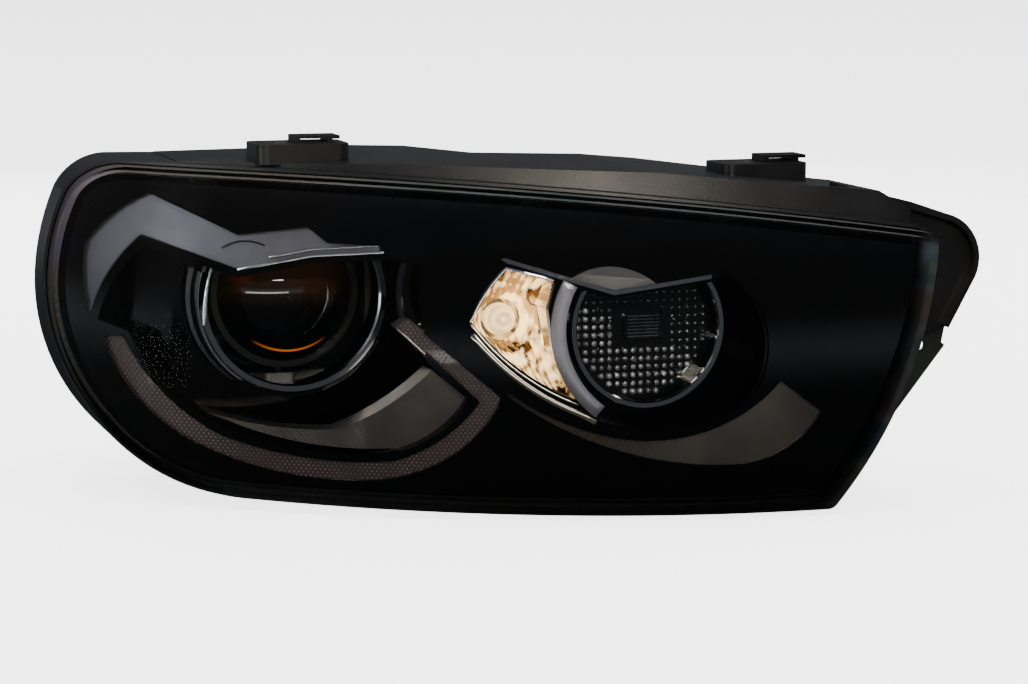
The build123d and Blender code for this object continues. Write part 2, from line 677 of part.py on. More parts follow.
# ---------------------------------------------------------------- daytime-lamp driver on the side wall
with BuildPart() as led_driver:
    with BuildSketch(at_depth(SIDE_WALL_Y + 13)):
        with Locations((DRIVER_X, DRIVER_Z)):
            RectangleRounded(60, 34, 3)
    extrude(amount=13)
    with BuildSketch(at_depth(SIDE_WALL_Y + 17)):
        with Locations((DRIVER_X, DRIVER_Z)):
            with GridLocations(8, 0, 6, 1):
                Rectangle(2.4, 28)
    extrude(amount=4)
    with BuildSketch(at_depth(SIDE_WALL_Y + 3)):
        with Locations((DRIVER_X, DRIVER_Z)):
            RectangleRounded(78, 14, 4)
        with Locations((DRIVER_X - 34, DRIVER_Z), (DRIVER_X + 34, DRIVER_Z)):
            Circle(SCREW_R + 0.15, mode=Mode.SUBTRACT)
    extrude(amount=3)
led_driver.part.label = "led_driver"
export_step(led_driver.part, "parts/led_driver.step")

# ---------------------------------------------------------------- screws of the ballast and the driver
module_screw_sites = (
    (BALLAST_X - 11, BALLAST_Z + 41, HOUSING_BACK),
    (BALLAST_X + 11, BALLAST_Z + 41, HOUSING_BACK),
    (DRIVER_X - 34, DRIVER_Z, SIDE_WALL_Y),
    (DRIVER_X + 34, DRIVER_Z, SIDE_WALL_Y),
)
with BuildPart() as module_screws:
    for x, z, wall_y in module_screw_sites:
        with BuildSketch(at_depth(wall_y + 3)):
            with Locations((x, z)):
                Circle(SCREW_R)
        extrude(amount=3)
        with BuildSketch(at_depth(wall_y + 5.5)):
            with Locations((x, z)):
                Circle(3.8)
        extrude(amount=2.5)
        with BuildSketch(at_depth(wall_y + 5.5)):
            with Locations((x, z)):
                RegularPolygon(1.8, 6)
        extrude(amount=1.5, mode=Mode.SUBTRACT)
module_screws.part.label = "module_screws"
export_step(module_screws.part, "parts/module_screws.step")

# ---------------------------------------------------------------- main connector and breather
with BuildPart() as main_connector:
    with BuildSketch(at_depth(HOUSING_BACK)):
        with Locations((PLUG_X, PLUG_Z)):
            Rectangle(18, 24)
    extrude(amount=HOUSING_WALL)
    with BuildSketch(at_depth(HOUSING_BACK + 3)):
        with Locations((PLUG_X, PLUG_Z)):
            RectangleRounded(23, 31, 3)
    extrude(amount=3)
    with BuildSketch(at_depth(HOUSING_BACK + 18)):
        with Locations((PLUG_X, PLUG_Z)):
            RectangleRounded(19, 26, 2)
    extrude(amount=15)
    with BuildSketch(at_depth(HOUSING_BACK + 18)):
        with Locations((PLUG_X, PLUG_Z)):
            RectangleRounded(16, 23, 1.5)
    extrude(amount=13, mode=Mode.SUBTRACT)
    with BuildSketch(at_depth(HOUSING_BACK + 12)):
        with Locations((PLUG_X, PLUG_Z)):
            with GridLocations(5, 4.2, 2, 5):
                Rectangle(1, 1.6)
    extrude(amount=8)
main_connector.part.label = "main_connector"
export_step(main_connector.part, "parts/main_connector.step")

with BuildPart() as breather:
    with BuildSketch(at_depth(HOUSING_BACK + 1)):
        with Locations((VENT_X, VENT_Z)):
            Circle(VENT_BORE)
    extrude(amount=HOUSING_WALL + 1)
    with BuildSketch(at_depth(HOUSING_BACK + 9)):
        with Locations((VENT_X, VENT_Z)):
            Circle(7)
    extrude(amount=9)
    with BuildSketch(at_depth(HOUSING_BACK + 7)):
        with Locations((VENT_X, VENT_Z)):
            Circle(5.5)
    extrude(amount=4, mode=Mode.SUBTRACT)
    with BuildSketch(at_depth(HOUSING_BACK + 5)):
        with Locations((VENT_X, VENT_Z)):
            Circle(2.2, mode=Mode.ADD)
    extrude(amount=2)
breather.part.label = "breather"
export_step(breather.part, "parts/breather.step")

# ---------------------------------------------------------------- levelling motor, its spindle and seal
LEVEL_Z = AIM_Z - AIM_DROP
with BuildPart() as level_motor:
    with BuildSketch(at_depth(HOUSING_BACK + 2.5)):
        with Locations((AIM_X, LEVEL_Z)):
            Circle(MOTOR_NECK_R)
    extrude(amount=14)
    with BuildSketch(at_depth(HOUSING_BACK + 34)):
        with Locations((AIM_X, LEVEL_Z)):
            Circle(MOTOR_R)
    extrude(amount=31.5)
    with BuildSketch(at_depth(HOUSING_BACK + 24)):
        with Locations((AIM_X + 22, LEVEL_Z - 4)):
            RectangleRounded(30, 18, 2)
    extrude(amount=14)
    with BuildSketch(Plane.YZ.offset(AIM_X + 37)):
        with Locations((HOUSING_BACK + 17, LEVEL_Z - 4)):
            RectangleRounded(10, 14, 1.5)
    extrude(amount=-10, mode=Mode.SUBTRACT)
    with BuildSketch(at_depth(HOUSING_BACK + 26)):
        with Locations((AIM_X, LEVEL_Z)):
            Circle(SPINDLE_R + RUNNING)
    extrude(amount=60, mode=Mode.SUBTRACT)
level_motor.part.label = "level_motor"
export_step(level_motor.part, "parts/level_motor.step")

motor_gasket = tube(AIM_X, LEVEL_Z, MOTOR_R - 4, MOTOR_NECK_R, HOUSING_BACK, HOUSING_BACK + 2.5)
with BuildPart() as motor_seal:
    add(motor_gasket)
motor_seal.part.label = "motor_seal"
export_step(motor_seal.part, "parts/motor_seal.step")

with BuildPart() as level_spindle:
    with BuildSketch(at_depth(HOUSING_BACK + 18)):
        with Locations((AIM_X, LEVEL_Z)):
            Circle(SPINDLE_R)
    extrude(amount=HOUSING_BACK + 18 - AIM_Y - 14)
    with BuildSketch(at_depth(AIM_Y + 15)):
        with Locations((AIM_X, LEVEL_Z)):
            Circle(NECK_R)
    extrude(amount=15)
    with Locations((AIM_X, AIM_Y, LEVEL_Z)):
        Sphere(BALL_R)
level_spindle.part.label = "level_spindle"
export_step(level_spindle.part, "parts/level_spindle.step")

# ---------------------------------------------------------------- the two manual aim adjusters
for name, x, z, tip in (
    ("horizontal_adjuster", AIM_X - AIM_SPAN, AIM_Z, AIM_Y - 9),
    ("vertical_adjuster", GEAR_X, GEAR_Z, HOUSING_BACK - 14),
):
    with BuildPart() as adjuster:
        with BuildSketch(at_depth(HOUSING_BACK + 3)):
            with Locations((x, z)):
                Circle(ADJUSTER_R)
        extrude(amount=HOUSING_WALL + 4)
        with BuildSketch(at_depth(HOUSING_BACK - HOUSING_WALL - COLLAR_GAP)):
            with Locations((x, z)):
                Circle(ADJUSTER_R + 2)
        extrude(amount=2)
        with BuildSketch(at_depth(HOUSING_BACK - HOUSING_WALL)):
            with Locations((x, z)):
                Circle(THREAD_R)
        extrude(amount=HOUSING_BACK - HOUSING_WALL - tip)
        with BuildSketch(at_depth(HOUSING_BACK + 9)):
            with Locations((x, z)):
                Circle(7.5)
                with PolarLocations(7.5, 16):
                    Circle(0.8, mode=Mode.SUBTRACT)
        extrude(amount=9 - COLLAR_GAP)
        with BuildSketch(at_depth(HOUSING_BACK + 9)):
            with Locations((x, z)):
                RegularPolygon(3.2, 6)
        extrude(amount=5, mode=Mode.SUBTRACT)
    adjuster.part.label = name
    export_step(adjuster.part, f"parts/{name}.step")

# ---------------------------------------------------------------- bezel: the black mask behind the cover
bezel_face = run_of(cover_outline, -BEZEL_MARGIN, ahead_of_bezel, ahead_of_skirt_end)
bezel_hollow = run_of(cover_outline, -BEZEL_MARGIN - BEZEL_WALL, ahead_of_bezel_back)
opening_outlines = (
    brow_outline,
    bowl_outline,
    guide_outline,
    turn_outline,
    side_bowl_outline,
    side_scoop_outline,
)

with BuildPart() as bezel:
    add(bezel_face)
    add(bezel_hollow, mode=Mode.SUBTRACT)
    for outline in opening_outlines:
        with BuildSketch(at_depth(PRISM_BACK)):
            add(outline.sketch)
            offset(amount=-OPENING_LAP)
        extrude(amount=PRISM_BACK - FRONT_LIMIT, mode=Mode.SUBTRACT)
    # Notches that clear the housing's screw blocks, then the ears for the screws.
    for x, z, wall_z in BEZEL_SITES:
        seat = depth_of_face(x, z, SKIRT_DEPTH)
        with BuildSketch(at_depth(seat + 40)):
            with Locations((x, z)):
                Rectangle(16, 44)
        extrude(amount=40, mode=Mode.SUBTRACT)
    for x, z, wall_z in BEZEL_SITES:
        seat = depth_of_face(x, z, SKIRT_DEPTH)
        outer_z = z + (6.5 if wall_z > z else -6.5)
        inner_z = z + (-6 if wall_z > z else 6)
        with BuildSketch(at_depth(seat)):
            with Locations((x, (inner_z + outer_z) / 2)):
                Rectangle(12, abs(inner_z - outer_z))
            with Locations((x, z)):
                Circle(SCREW_R + 0.15, mode=Mode.SUBTRACT)
        extrude(amount=2.5)
bezel.part.label = "bezel"
export_step(bezel.part, "parts/bezel.step")

with BuildPart() as bezel_screws:
    for x, z, wall_z in BEZEL_SITES:
        seat = depth_of_face(x, z, SKIRT_DEPTH)
        with BuildSketch(at_depth(seat + 10)):
            with Locations((x, z)):
                Circle(SCREW_R)
        extrude(amount=12.5)
        with BuildSketch(at_depth(seat - 2.5)):
            with Locations((x, z)):
                Circle(3.4)
        extrude(amount=2.2)
bezel_screws.part.label = "bezel_screws"
export_step(bezel_screws.part, "parts/bezel_screws.step")

# ---------------------------------------------------------------- brow over the projector, satin chrome
brow_block = run_of(brow_outline, 0, ahead_of_bezel_back, ahead_of_brow_back)
brow_hollow = run_of(brow_outline, -BROW_WALL, ahead_of_brow_skin)

with BuildPart() as brow_blade:
    add(brow_block)
    add(brow_hollow, mode=Mode.SUBTRACT)
    # Notch in the back edge that the carrier's outboard corner swings into.
    with BuildSketch(Plane.XY.offset(AIM_Z)):
        with Locations((AIM_X - AIM_SPAN - 2, AIM_Y - 3)):
            Rectangle(20, 26)
    extrude(amount=12, mode=Mode.SUBTRACT)
brow_blade.part.label = "brow_blade"
export_step(brow_blade.part, "parts/brow_blade.step")

# ---------------------------------------------------------------- lower scoop inside the projector's bowl
scoop_block = run_of(lower_scoop_outline, 0, ahead_of_scoop, ahead_of_scoop_back)
scoop_hollow = run_of(lower_scoop_outline, -1.8, ahead_of_scoop_skin)

with BuildPart() as lower_scoop:
    add(scoop_block)
    add(scoop_hollow, mode=Mode.SUBTRACT)
lower_scoop.part.label = "lower_scoop"
export_step(lower_scoop.part, "parts/lower_scoop.step")

# ---------------------------------------------------------------- bowl round the projector
bowl_front = run_of(bowl_outline, 0, ahead_of_bezel_back)
bowl_well = run_of(bowl_outline, -BOWL_WALL)
scoop_seat = run_of(lower_scoop_outline, 0, None, ahead_of_scoop_back)
brow_seat = run_of(brow_outline, TRIM_GAP, None, ahead_of_brow_seat)
guide_notch = run_of(guide_outline, TRIM_GAP, None, ahead_of_guide_seat)

with BuildPart() as bowl_limit:
    with BuildSketch(at_depth(TRIM_BACK)):
        with Locations((0, -90)):
            Rectangle(500, 400)
    extrude(amount=300)
    add(ahead_of_bowl_back)

with BuildPart() as well_limit:
    with BuildSketch(at_depth(BOWL_BACK)):
        with Locations((0, -90)):
            Rectangle(500, 400)
    extrude(amount=300)
    add(ahead_of_bowl_well)

with BuildPart() as bowl_space:
    add(bowl_well)
    add(well_limit.part, mode=Mode.INTERSECT)

mask_front = run_of(cover_outline, 0, None, ahead_of_bezel_back)
collar = rod(PROJECTOR_X, PROJECTOR_Z, TRIM_R + 2.5, TRIM_FRONT + 4, TRIM_BACK)

with BuildPart() as projector_bowl:
    add(bowl_front)
    add(bowl_limit.part, mode=Mode.INTERSECT)
    add(bowl_space.part, mode=Mode.SUBTRACT)
    add(collar)
    add(scoop_seat, mode=Mode.SUBTRACT)
    add(brow_seat, mode=Mode.SUBTRACT)
    add(guide_notch, mode=Mode.SUBTRACT)
    add(mask_front, mode=Mode.SUBTRACT)
    with BuildSketch(at_depth(TRIM_BACK)):
        with Locations((PROJECTOR_X, PROJECTOR_Z)):
            Circle(TRIM_R)
    extrude(amount=300, mode=Mode.SUBTRACT)
projector_bowl.part.label = "projector_bowl"
export_step(projector_bowl.part, "parts/projector_bowl.step")

# ---------------------------------------------------------------- chrome ring and tube round the projector's lens
trim_body = turned(
    PROJECTOR_X,
    PROJECTOR_Z,
    (TRIM_R - 4.5, TRIM_FRONT + 0.8),
    (TRIM_R - 3.6, TRIM_FRONT),
    (TRIM_R - 0.8, TRIM_FRONT),
    (TRIM_R, TRIM_FRONT + 0.8),
    (TRIM_R, TRIM_BACK),
    (TRIM_R + 2.5, TRIM_BACK),
    (TRIM_R + 2.5, TRIM_BACK + 1.5),
    (TRIM_R - 1.5, TRIM_BACK + 1.5),
    (TRIM_R - 1.5, TRIM_FRONT + 2),
    (TRIM_R - 4.5, TRIM_FRONT + 2),
)
with BuildPart() as projector_trim:
    add(trim_body)
    add(brow_seat, mode=Mode.SUBTRACT)
    add(mask_front, mode=Mode.SUBTRACT)
projector_trim.part.label = "projector_trim"
export_step(projector_trim.part, "parts/projector_trim.step")

# ---------------------------------------------------------------- light guide of the daytime lamp, tray, board
guide_block = run_of(guide_outline, 0, ahead_of_bezel_back, ahead_of_guide_back)
with BuildPart() as drl_guide:
    add(guide_block)
drl_guide.part.label = "drl_guide"
export_step(drl_guide.part, "parts/drl_guide.step")

tray_block = run_of(guide_outline, 1.6, ahead_of_bezel_back, ahead_of_tray_back)
guide_seat = run_of(guide_outline, 0, None, ahead_of_guide_back)
mask_inside = run_of(cover_outline, -BEZEL_MARGIN - BEZEL_WALL - 0.1)
bowl_edge = run_of(bowl_outline, 0)
turn_edge = run_of(turn_outline, 0)
scoop_edge = run_of(side_scoop_outline, 0)
with BuildPart() as guide_tray:
    add(tray_block)
    add(mask_inside, mode=Mode.INTERSECT)
    add(guide_seat, mode=Mode.SUBTRACT)
    add(bowl_edge, mode=Mode.SUBTRACT)
    add(turn_edge, mode=Mode.SUBTRACT)
    add(scoop_edge, mode=Mode.SUBTRACT)
guide_tray.part.label = "guide_tray"
export_step(guide_tray.part, "parts/guide_tray.step")

# ---------------------------------------------------------------- turn lamp: reflector, bulb and bayonet holder
turn_block = run_of(turn_outline, 0, ahead_of_bezel_back)
turn_well = run_of(turn_outline, -1.6)

with BuildPart() as turn_space:
    add(turn_well)
    with BuildSketch(at_depth(TURN_BACK - 1.6)):
        with Locations((104, -92)):
            Rectangle(120, 120)
    extrude(amount=200, mode=Mode.INTERSECT)
with BuildPart() as turn_reflector:
    add(turn_block)
    with BuildSketch(at_depth(TURN_BACK)):
        with Locations((104, -92)):
            Rectangle(120, 120)
    extrude(amount=200, mode=Mode.INTERSECT)
    add(turn_space.part, mode=Mode.SUBTRACT)
    with BuildSketch(at_depth(TURN_BACK)):
        with Locations((TURN_X, TURN_Z)):
            Circle(TURN_BORE)
    extrude(amount=4, mode=Mode.SUBTRACT)
turn_reflector.part.label = "turn_reflector"
export_step(turn_reflector.part, "parts/turn_reflector.step")

with BuildPart() as turn_holder:
    with BuildSketch(at_depth(TURN_BACK + 1)):
        with Locations((TURN_X, TURN_Z)):
            Circle(TURN_BORE - 0.3)
    extrude(amount=4)
    with BuildSketch(at_depth(TURN_BACK + 3)):
        with Locations((TURN_X, TURN_Z)):
            Circle(TURN_BORE + 3.5)
    extrude(amount=3)
    with BuildSketch(at_depth(TURN_BACK + 16)):
        with Locations((TURN_X, TURN_Z)):
            Circle(8)
            Rectangle(22, 5)
    extrude(amount=13)
turn_holder.part.label = "turn_holder"
export_step(turn_holder.part, "parts/turn_holder.step")

turn_glass = turned(
    TURN_X, TURN_Z,
    (0, TURN_BACK - 7), (5.5, TURN_BACK - 7), (7.5, TURN_BACK - 13), (8.5, TURN_BACK - 18), (7.5,
    TURN_BACK - 23),
    (4.5, TURN_BACK - 27), (0, TURN_BACK - 28.5),
)
with BuildPart() as turn_bulb:
    add(turn_glass)
    with BuildSketch(at_depth(TURN_BACK - 3)):
        with Locations((TURN_X, TURN_Z)):
            Rectangle(12, 5)
    extrude(amount=5)
turn_bulb.part.label = "turn_bulb"
export_step(turn_bulb.part, "parts/turn_bulb.step")

# ---------------------------------------------------------------- side lamp's surround, ring, optic and reflector
side_block = run_of(side_bowl_outline, 0, ahead_of_bezel_back)
side_well = run_of(side_bowl_outline, -BOWL_WALL)

with BuildPart() as side_bowl_space:
    add(side_well)
    with BuildSketch(at_depth(SIDE_BOWL_BACK - BOWL_WALL)):
        with Locations((170, -95)):
            Rectangle(160, 160)
    extrude(amount=200, mode=Mode.INTERSECT)
side_collar = rod(SIDE_X, SIDE_Z, SIDE_R + 2.2, SIDE_FRONT + 4, SIDE_BOWL_BACK)
with BuildPart() as side_bowl:
    add(side_block)
    with BuildSketch(at_depth(SIDE_BOWL_BACK)):
        with Locations((170, -95)):
            Rectangle(160, 160)
    extrude(amount=200, mode=Mode.INTERSECT)
    add(side_bowl_space.part, mode=Mode.SUBTRACT)
    add(side_collar)
    with BuildSketch(at_depth(SIDE_BOWL_BACK)):
        with Locations((SIDE_X, SIDE_Z)):
            Circle(SIDE_R)
    extrude(amount=300, mode=Mode.SUBTRACT)
side_bowl.part.label = "side_bowl"
export_step(side_bowl.part, "parts/side_bowl.step")

SIDE_SEAT = SIDE_FRONT + 12
side_trim_body = turned(
    SIDE_X, SIDE_Z,
    (SIDE_R - 3.5, SIDE_FRONT + 0.6), (SIDE_R - 2.9, SIDE_FRONT), (SIDE_R - 0.6, SIDE_FRONT),
    (SIDE_R, SIDE_FRONT + 0.6), (SIDE_R, SIDE_BOWL_BACK), (SIDE_R + 2.2, SIDE_BOWL_BACK),
    (SIDE_R + 2.2, SIDE_BOWL_BACK + 1.5), (SIDE_R, SIDE_BOWL_BACK + 1.5), (SIDE_R, SIDE_FRONT + SIDE_TUBE),
    (SIDE_R - 1.5, SIDE_FRONT + SIDE_TUBE), (SIDE_R - 1.5, SIDE_SEAT), (SIDE_R - 3.5, SIDE_SEAT),
)
with BuildPart() as side_trim:
    add(side_trim_body)
side_trim.part.label = "side_trim"
export_step(side_trim.part, "parts/side_trim.step")

with BuildPart() as side_optic:
    with BuildSketch(at_depth(SIDE_SEAT + 4)):
        with Locations((SIDE_X, SIDE_Z)):
            Circle(SIDE_R - 1.5)
    extrude(amount=4)
    with BuildSketch(at_depth(SIDE_SEAT)):
        with Locations((SIDE_X, SIDE_Z)):
            with GridLocations(7, 7, 9, 9) as pillows:
                pillow_sites = [
                    (p.position.X, p.position.Z)
                    for p in pillows.locations
                    if (p.position.X - SIDE_X) ** 2 + (p.position.Z - SIDE_Z) ** 2 < 33**2
                ]
        for x, z in pillow_sites:
            if abs(x - SIDE_X) > 11 or abs(z - SIDE_Z) > 8:
                with Locations((x, z)):
                    RectangleRounded(6, 6, 1.5)
    extrude(amount=1)
    with BuildSketch(at_depth(SIDE_SEAT)):
        with Locations((SIDE_X, SIDE_Z)):
            RectangleRounded(20, 13, 2)
    extrude(amount=3)
side_optic.part.label = "side_optic"
export_step(side_optic.part, "parts/side_optic.step")

side_reflector_body = turned(
    SIDE_X, SIDE_Z,
    (SIDE_R - 1.5, SIDE_SEAT + 4), (SIDE_R - 1.5, SIDE_FRONT + SIDE_TUBE), (SIDE_R, SIDE_FRONT + SIDE_TUBE),
    (SIDE_R, SIDE_FRONT + SIDE_TUBE + 2), (36, SIDE_BULB_Y - 20), (26, SIDE_BULB_Y - 8), (14, SIDE_BULB_Y),
    (14, SIDE_BULB_Y + 6), (SIDE_BORE, SIDE_BULB_Y + 6), (SIDE_BORE, SIDE_BULB_Y - 2),
    (24, SIDE_BULB_Y - 10), (34, SIDE_BULB_Y - 22), (SIDE_R - 3.2, SIDE_FRONT + SIDE_TUBE), (SIDE_R - 3.2, SIDE_SEAT + 4),
)
with BuildPart() as side_reflector:
    add(side_reflector_body)
side_reflector.part.label = "side_reflector"
export_step(side_reflector.part, "parts/side_reflector.step")

side_bulb_body = turned(
    SIDE_X, SIDE_Z,
    (0, SIDE_BULB_Y - 34), (4, SIDE_BULB_Y - 32), (6, SIDE_BULB_Y - 28), (6, SIDE_BULB_Y - 4),
    (SIDE_BORE - RUNNING, SIDE_BULB_Y - 4), (SIDE_BORE - RUNNING, SIDE_BULB_Y + 6), (14,
    SIDE_BULB_Y + 6), (14, SIDE_BULB_Y + 9), (9, SIDE_BULB_Y + 9),
    (9, SIDE_BULB_Y + 24), (0, SIDE_BULB_Y + 24),
)
with BuildPart() as side_bulb:
    add(side_bulb_body)
    with BuildSketch(at_depth(SIDE_BULB_Y + 22)):
        with Locations((SIDE_X, SIDE_Z - 12)):
            RectangleRounded(14, 16, 2)
    extrude(amount=12)
side_bulb.part.label = "side_bulb"
export_step(side_bulb.part, "parts/side_bulb.step")

# ---------------------------------------------------------------- side scoop and the thin chrome line over the side lamp
side_scoop_block = run_of(side_scoop_outline, 0, ahead_of_bezel_back, ahead_of_scoop_back)
side_scoop_hollow = run_of(side_scoop_outline, -1.8, ahead_of_side_scoop_skin)
with BuildPart() as side_scoop:
    add(side_scoop_block)
    add(side_scoop_hollow, mode=Mode.SUBTRACT)
side_scoop.part.label = "side_scoop"
export_step(side_scoop.part, "parts/side_scoop.step")

side_line = run_of(side_brow_outline, 0, ahead_of_brow_line, ahead_of_bezel)
with BuildPart() as side_brow:
    add(side_line)
side_brow.part.label = "side_brow"
export_step(side_brow.part, "parts/side_brow.step")

# ---------------------------------------------------------------- ball stud of the aim pivot, pressed into its post
with BuildPart() as pivot_stud:
    with BuildSketch(at_depth(POST_FRONT + 22)):
        with Locations((AIM_X, AIM_Z)):
            Circle(STUD_R)
    extrude(amount=22)
    with BuildSketch(at_depth(POST_FRONT)):
        with Locations((AIM_X, AIM_Z)):
            Circle(6.5)
    extrude(amount=2)
    with BuildSketch(at_depth(POST_FRONT - 1)):
        with Locations((AIM_X, AIM_Z)):
            Circle(NECK_R)
    extrude(amount=POST_FRONT - 1 - AIM_Y)
    with Locations((AIM_X, AIM_Y, AIM_Z)):
        Sphere(BALL_R)
pivot_stud.part.label = "pivot_stud"
export_step(pivot_stud.part, "parts/pivot_stud.step")

# ---------------------------------------------------------------- nylon socket on the ball, and the aim nut
socket_slice = rod(AIM_X, AIM_Z, 20, AIM_Y - BOSS_HALF, AIM_Y + BOSS_HALF)
with BuildPart() as pivot_socket:
    with Locations((AIM_X, AIM_Y, AIM_Z)):
        Sphere(SOCKET_R)
    add(socket_slice, mode=Mode.INTERSECT)
    with Locations((AIM_X, AIM_Y, AIM_Z)):
        Sphere(BALL_R + BALL_GAP, mode=Mode.SUBTRACT)
    with BuildSketch(at_depth(AIM_Y + 10)):
        with Locations((AIM_X, AIM_Z)):
            Circle(NECK_R + 1)
    extrude(amount=10, mode=Mode.SUBTRACT)
pivot_socket.part.label = "pivot_socket"
export_step(pivot_socket.part, "parts/pivot_socket.step")

nut_slice = rod(AIM_X - AIM_SPAN, AIM_Z, 20, AIM_Y - BOSS_HALF, AIM_Y + BOSS_HALF)
with BuildPart() as aim_nut:
    with Locations((AIM_X - AIM_SPAN, AIM_Y, AIM_Z)):
        Sphere(SOCKET_R)
    add(nut_slice, mode=Mode.INTERSECT)
    with BuildSketch(at_depth(AIM_Y + 10)):
        with Locations((AIM_X - AIM_SPAN, AIM_Z)):
            Circle(THREAD_R + 0.6)
    extrude(amount=20, mode=Mode.SUBTRACT)
aim_nut.part.label = "aim_nut"
export_step(aim_nut.part, "parts/aim_nut.step")

# ---------------------------------------------------------------- die-cast carrier frame
FRAME_BACK = FRAME_Y + FRAME_THICK
window_bottom = PROJECTOR_Z - WINDOW_Z
with BuildPart() as carrier_frame:
    with BuildSketch(at_depth(FRAME_BACK)):
        with BuildLine():
            Polyline(
                (PROJECTOR_X - WINDOW_X - 14, AIM_Z + 9),
                (AIM_X + 6, AIM_Z + 9),
                (PROJECTOR_X + WINDOW_X + 14, AIM_Z - 14),
                (PROJECTOR_X + WINDOW_X + 14, LEVEL_Z + 4),
                (AIM_X - 6, LEVEL_Z + 2),
                (AIM_X - 16, window_bottom - 8),
                (PROJECTOR_X - WINDOW_X - 6, window_bottom - 8),
                (PROJECTOR_X - WINDOW_X - 14, window_bottom + 4),
                close=True,
            )
        make_face()
        with Locations((PROJECTOR_X, PROJECTOR_Z)):
            RectangleRounded(2 * WINDOW_X, 2 * WINDOW_Z, 14, mode=Mode.SUBTRACT)
    extrude(amount=FRAME_THICK)
    # Bosses of the three aim points.
    with BuildSketch(at_depth(AIM_Y + BOSS_HALF)):
        with Locations((AIM_X, AIM_Z), (AIM_X - AIM_SPAN, AIM_Z), (AIM_X, LEVEL_Z)):
            Circle(BOSS_R)
    extrude(amount=2 * BOSS_HALF)
    # Swivel lugs reaching forward over and under the projector.
    with BuildSketch(Plane.XY.offset(PROJECTOR_Z + LUG_Z)):
        with Locations((PROJECTOR_X, (SWIVEL_Y - 6 + FRAME_BACK) / 2)):
            RectangleRounded(18, FRAME_BACK - SWIVEL_Y + 6, 3)
    extrude(amount=LUG_THICK)
    with BuildSketch(Plane.XY.offset(PROJECTOR_Z - LUG_Z)):
        with Locations((PROJECTOR_X, (SWIVEL_Y - 6 + FRAME_BACK) / 2)):
            RectangleRounded(18, FRAME_BACK - SWIVEL_Y + 6, 3)
    extrude(amount=-LUG_THICK)
    # Shelf of the swivel motor, hung on two webs.
    with BuildSketch(at_depth(FRAME_BACK)):
        with Locations((PROJECTOR_X - 25, -140), (PROJECTOR_X + 25, -140)):
            Rectangle(5, 12)
    extrude(amount=FRAME_THICK)
    with BuildSketch(Plane.XY.offset(SHELF_Z)):
        with Locations((PROJECTOR_X, 47)):
            RectangleRounded(55, 34, 3)
    extrude(amount=-3)
    # Bores.
    with Locations((AIM_X, AIM_Y, AIM_Z), (AIM_X - AIM_SPAN, AIM_Y, AIM_Z)):
        Sphere(SOCKET_R + BALL_GAP, mode=Mode.SUBTRACT)
    with Locations((AIM_X, AIM_Y, LEVEL_Z)):
        Sphere(BALL_R + BALL_GAP, mode=Mode.SUBTRACT)
    with BuildSketch(at_depth(AIM_Y + 10)):
        with Locations((AIM_X, LEVEL_Z)):
            Circle(NECK_R + 1.2)
    extrude(amount=10, mode=Mode.SUBTRACT)
    with BuildSketch(Plane.XY.offset(PROJECTOR_Z)):
        with Locations((PROJECTOR_X, SWIVEL_Y)):
            Circle(PIN_R + RUNNING)
    extrude(amount=60, both=True, mode=Mode.SUBTRACT)
    with BuildSketch(Plane.XY.offset(SHELF_Z)):
        with Locations((PROJECTOR_X, MESH_Y)):
            Circle(2 + RUNNING)
    extrude(amount=-3, mode=Mode.SUBTRACT)
carrier_frame.part.label = "carrier_frame"
export_step(carrier_frame.part, "parts/carrier_frame.step")

# ---------------------------------------------------------------- projector: lens, holder, shutter, reflector
dome_edge = LENS_R - 1.5
dome_r = (dome_edge**2 + LENS_DOME**2) / (2 * LENS_DOME)
with BuildPart() as projector_lens:
    with BuildSketch(lamp_plane(PROJECTOR_X, PROJECTOR_Z)):
        with BuildLine():
            dome_mid = LENS_Y - LENS_DOME + dome_r - (dome_r**2 - (dome_edge / 2) ** 2) ** 0.5
            ThreePointArc((0, LENS_Y - LENS_DOME), (dome_edge / 2, dome_mid), (dome_edge, LENS_Y))
            Polyline(
                (dome_edge, LENS_Y), (LENS_R, LENS_Y), (LENS_R, LENS_Y + LENS_FLANGE), (0,
                LENS_Y + LENS_FLANGE),
                (0, LENS_Y - LENS_DOME),
            )
        make_face()
    revolve(axis=lamp_axis(PROJECTOR_X, PROJECTOR_Z))
projector_lens.part.label = "projector_lens"
export_step(projector_lens.part, "parts/projector_lens.step")

FLANGE_Y = 37.5
holder_shell = turned(
    PROJECTOR_X, PROJECTOR_Z,
    (LENS_R - 1.3, LENS_Y - 2.2), (HOLDER_R, LENS_Y - 2.2), (HOLDER_R, 9), (43.5, 34), (FLANGE_R, 34),
    (FLANGE_R, FLANGE_Y), (40.5, FLANGE_Y), (40.5, 34), (LENS_R - 1.6, 9.5), (LENS_R - 1.6,
    LENS_Y + LENS_FLANGE),
    (LENS_R, LENS_Y + LENS_FLANGE), (LENS_R, LENS_Y), (LENS_R - 1.3, LENS_Y),
)
holder_cavity = turned(
    PROJECTOR_X, PROJECTOR_Z,
    (0, FLANGE_Y), (40.5, FLANGE_Y), (40.5, 34), (LENS_R - 1.6, 9.5), (LENS_R - 1.6, LENS_Y - 10), (0,
    LENS_Y - 10),
)
SHUTTER_Z = PROJECTOR_Z - SHUTTER_DROP
CAN_X = PROJECTOR_X - 31.2
with BuildPart() as can_pocket:
    with BuildSketch(Plane.YZ.offset(CAN_X)):
        with Locations((SHUTTER_Y, SHUTTER_Z)):
            Circle(8.4)
    extrude(amount=-30)
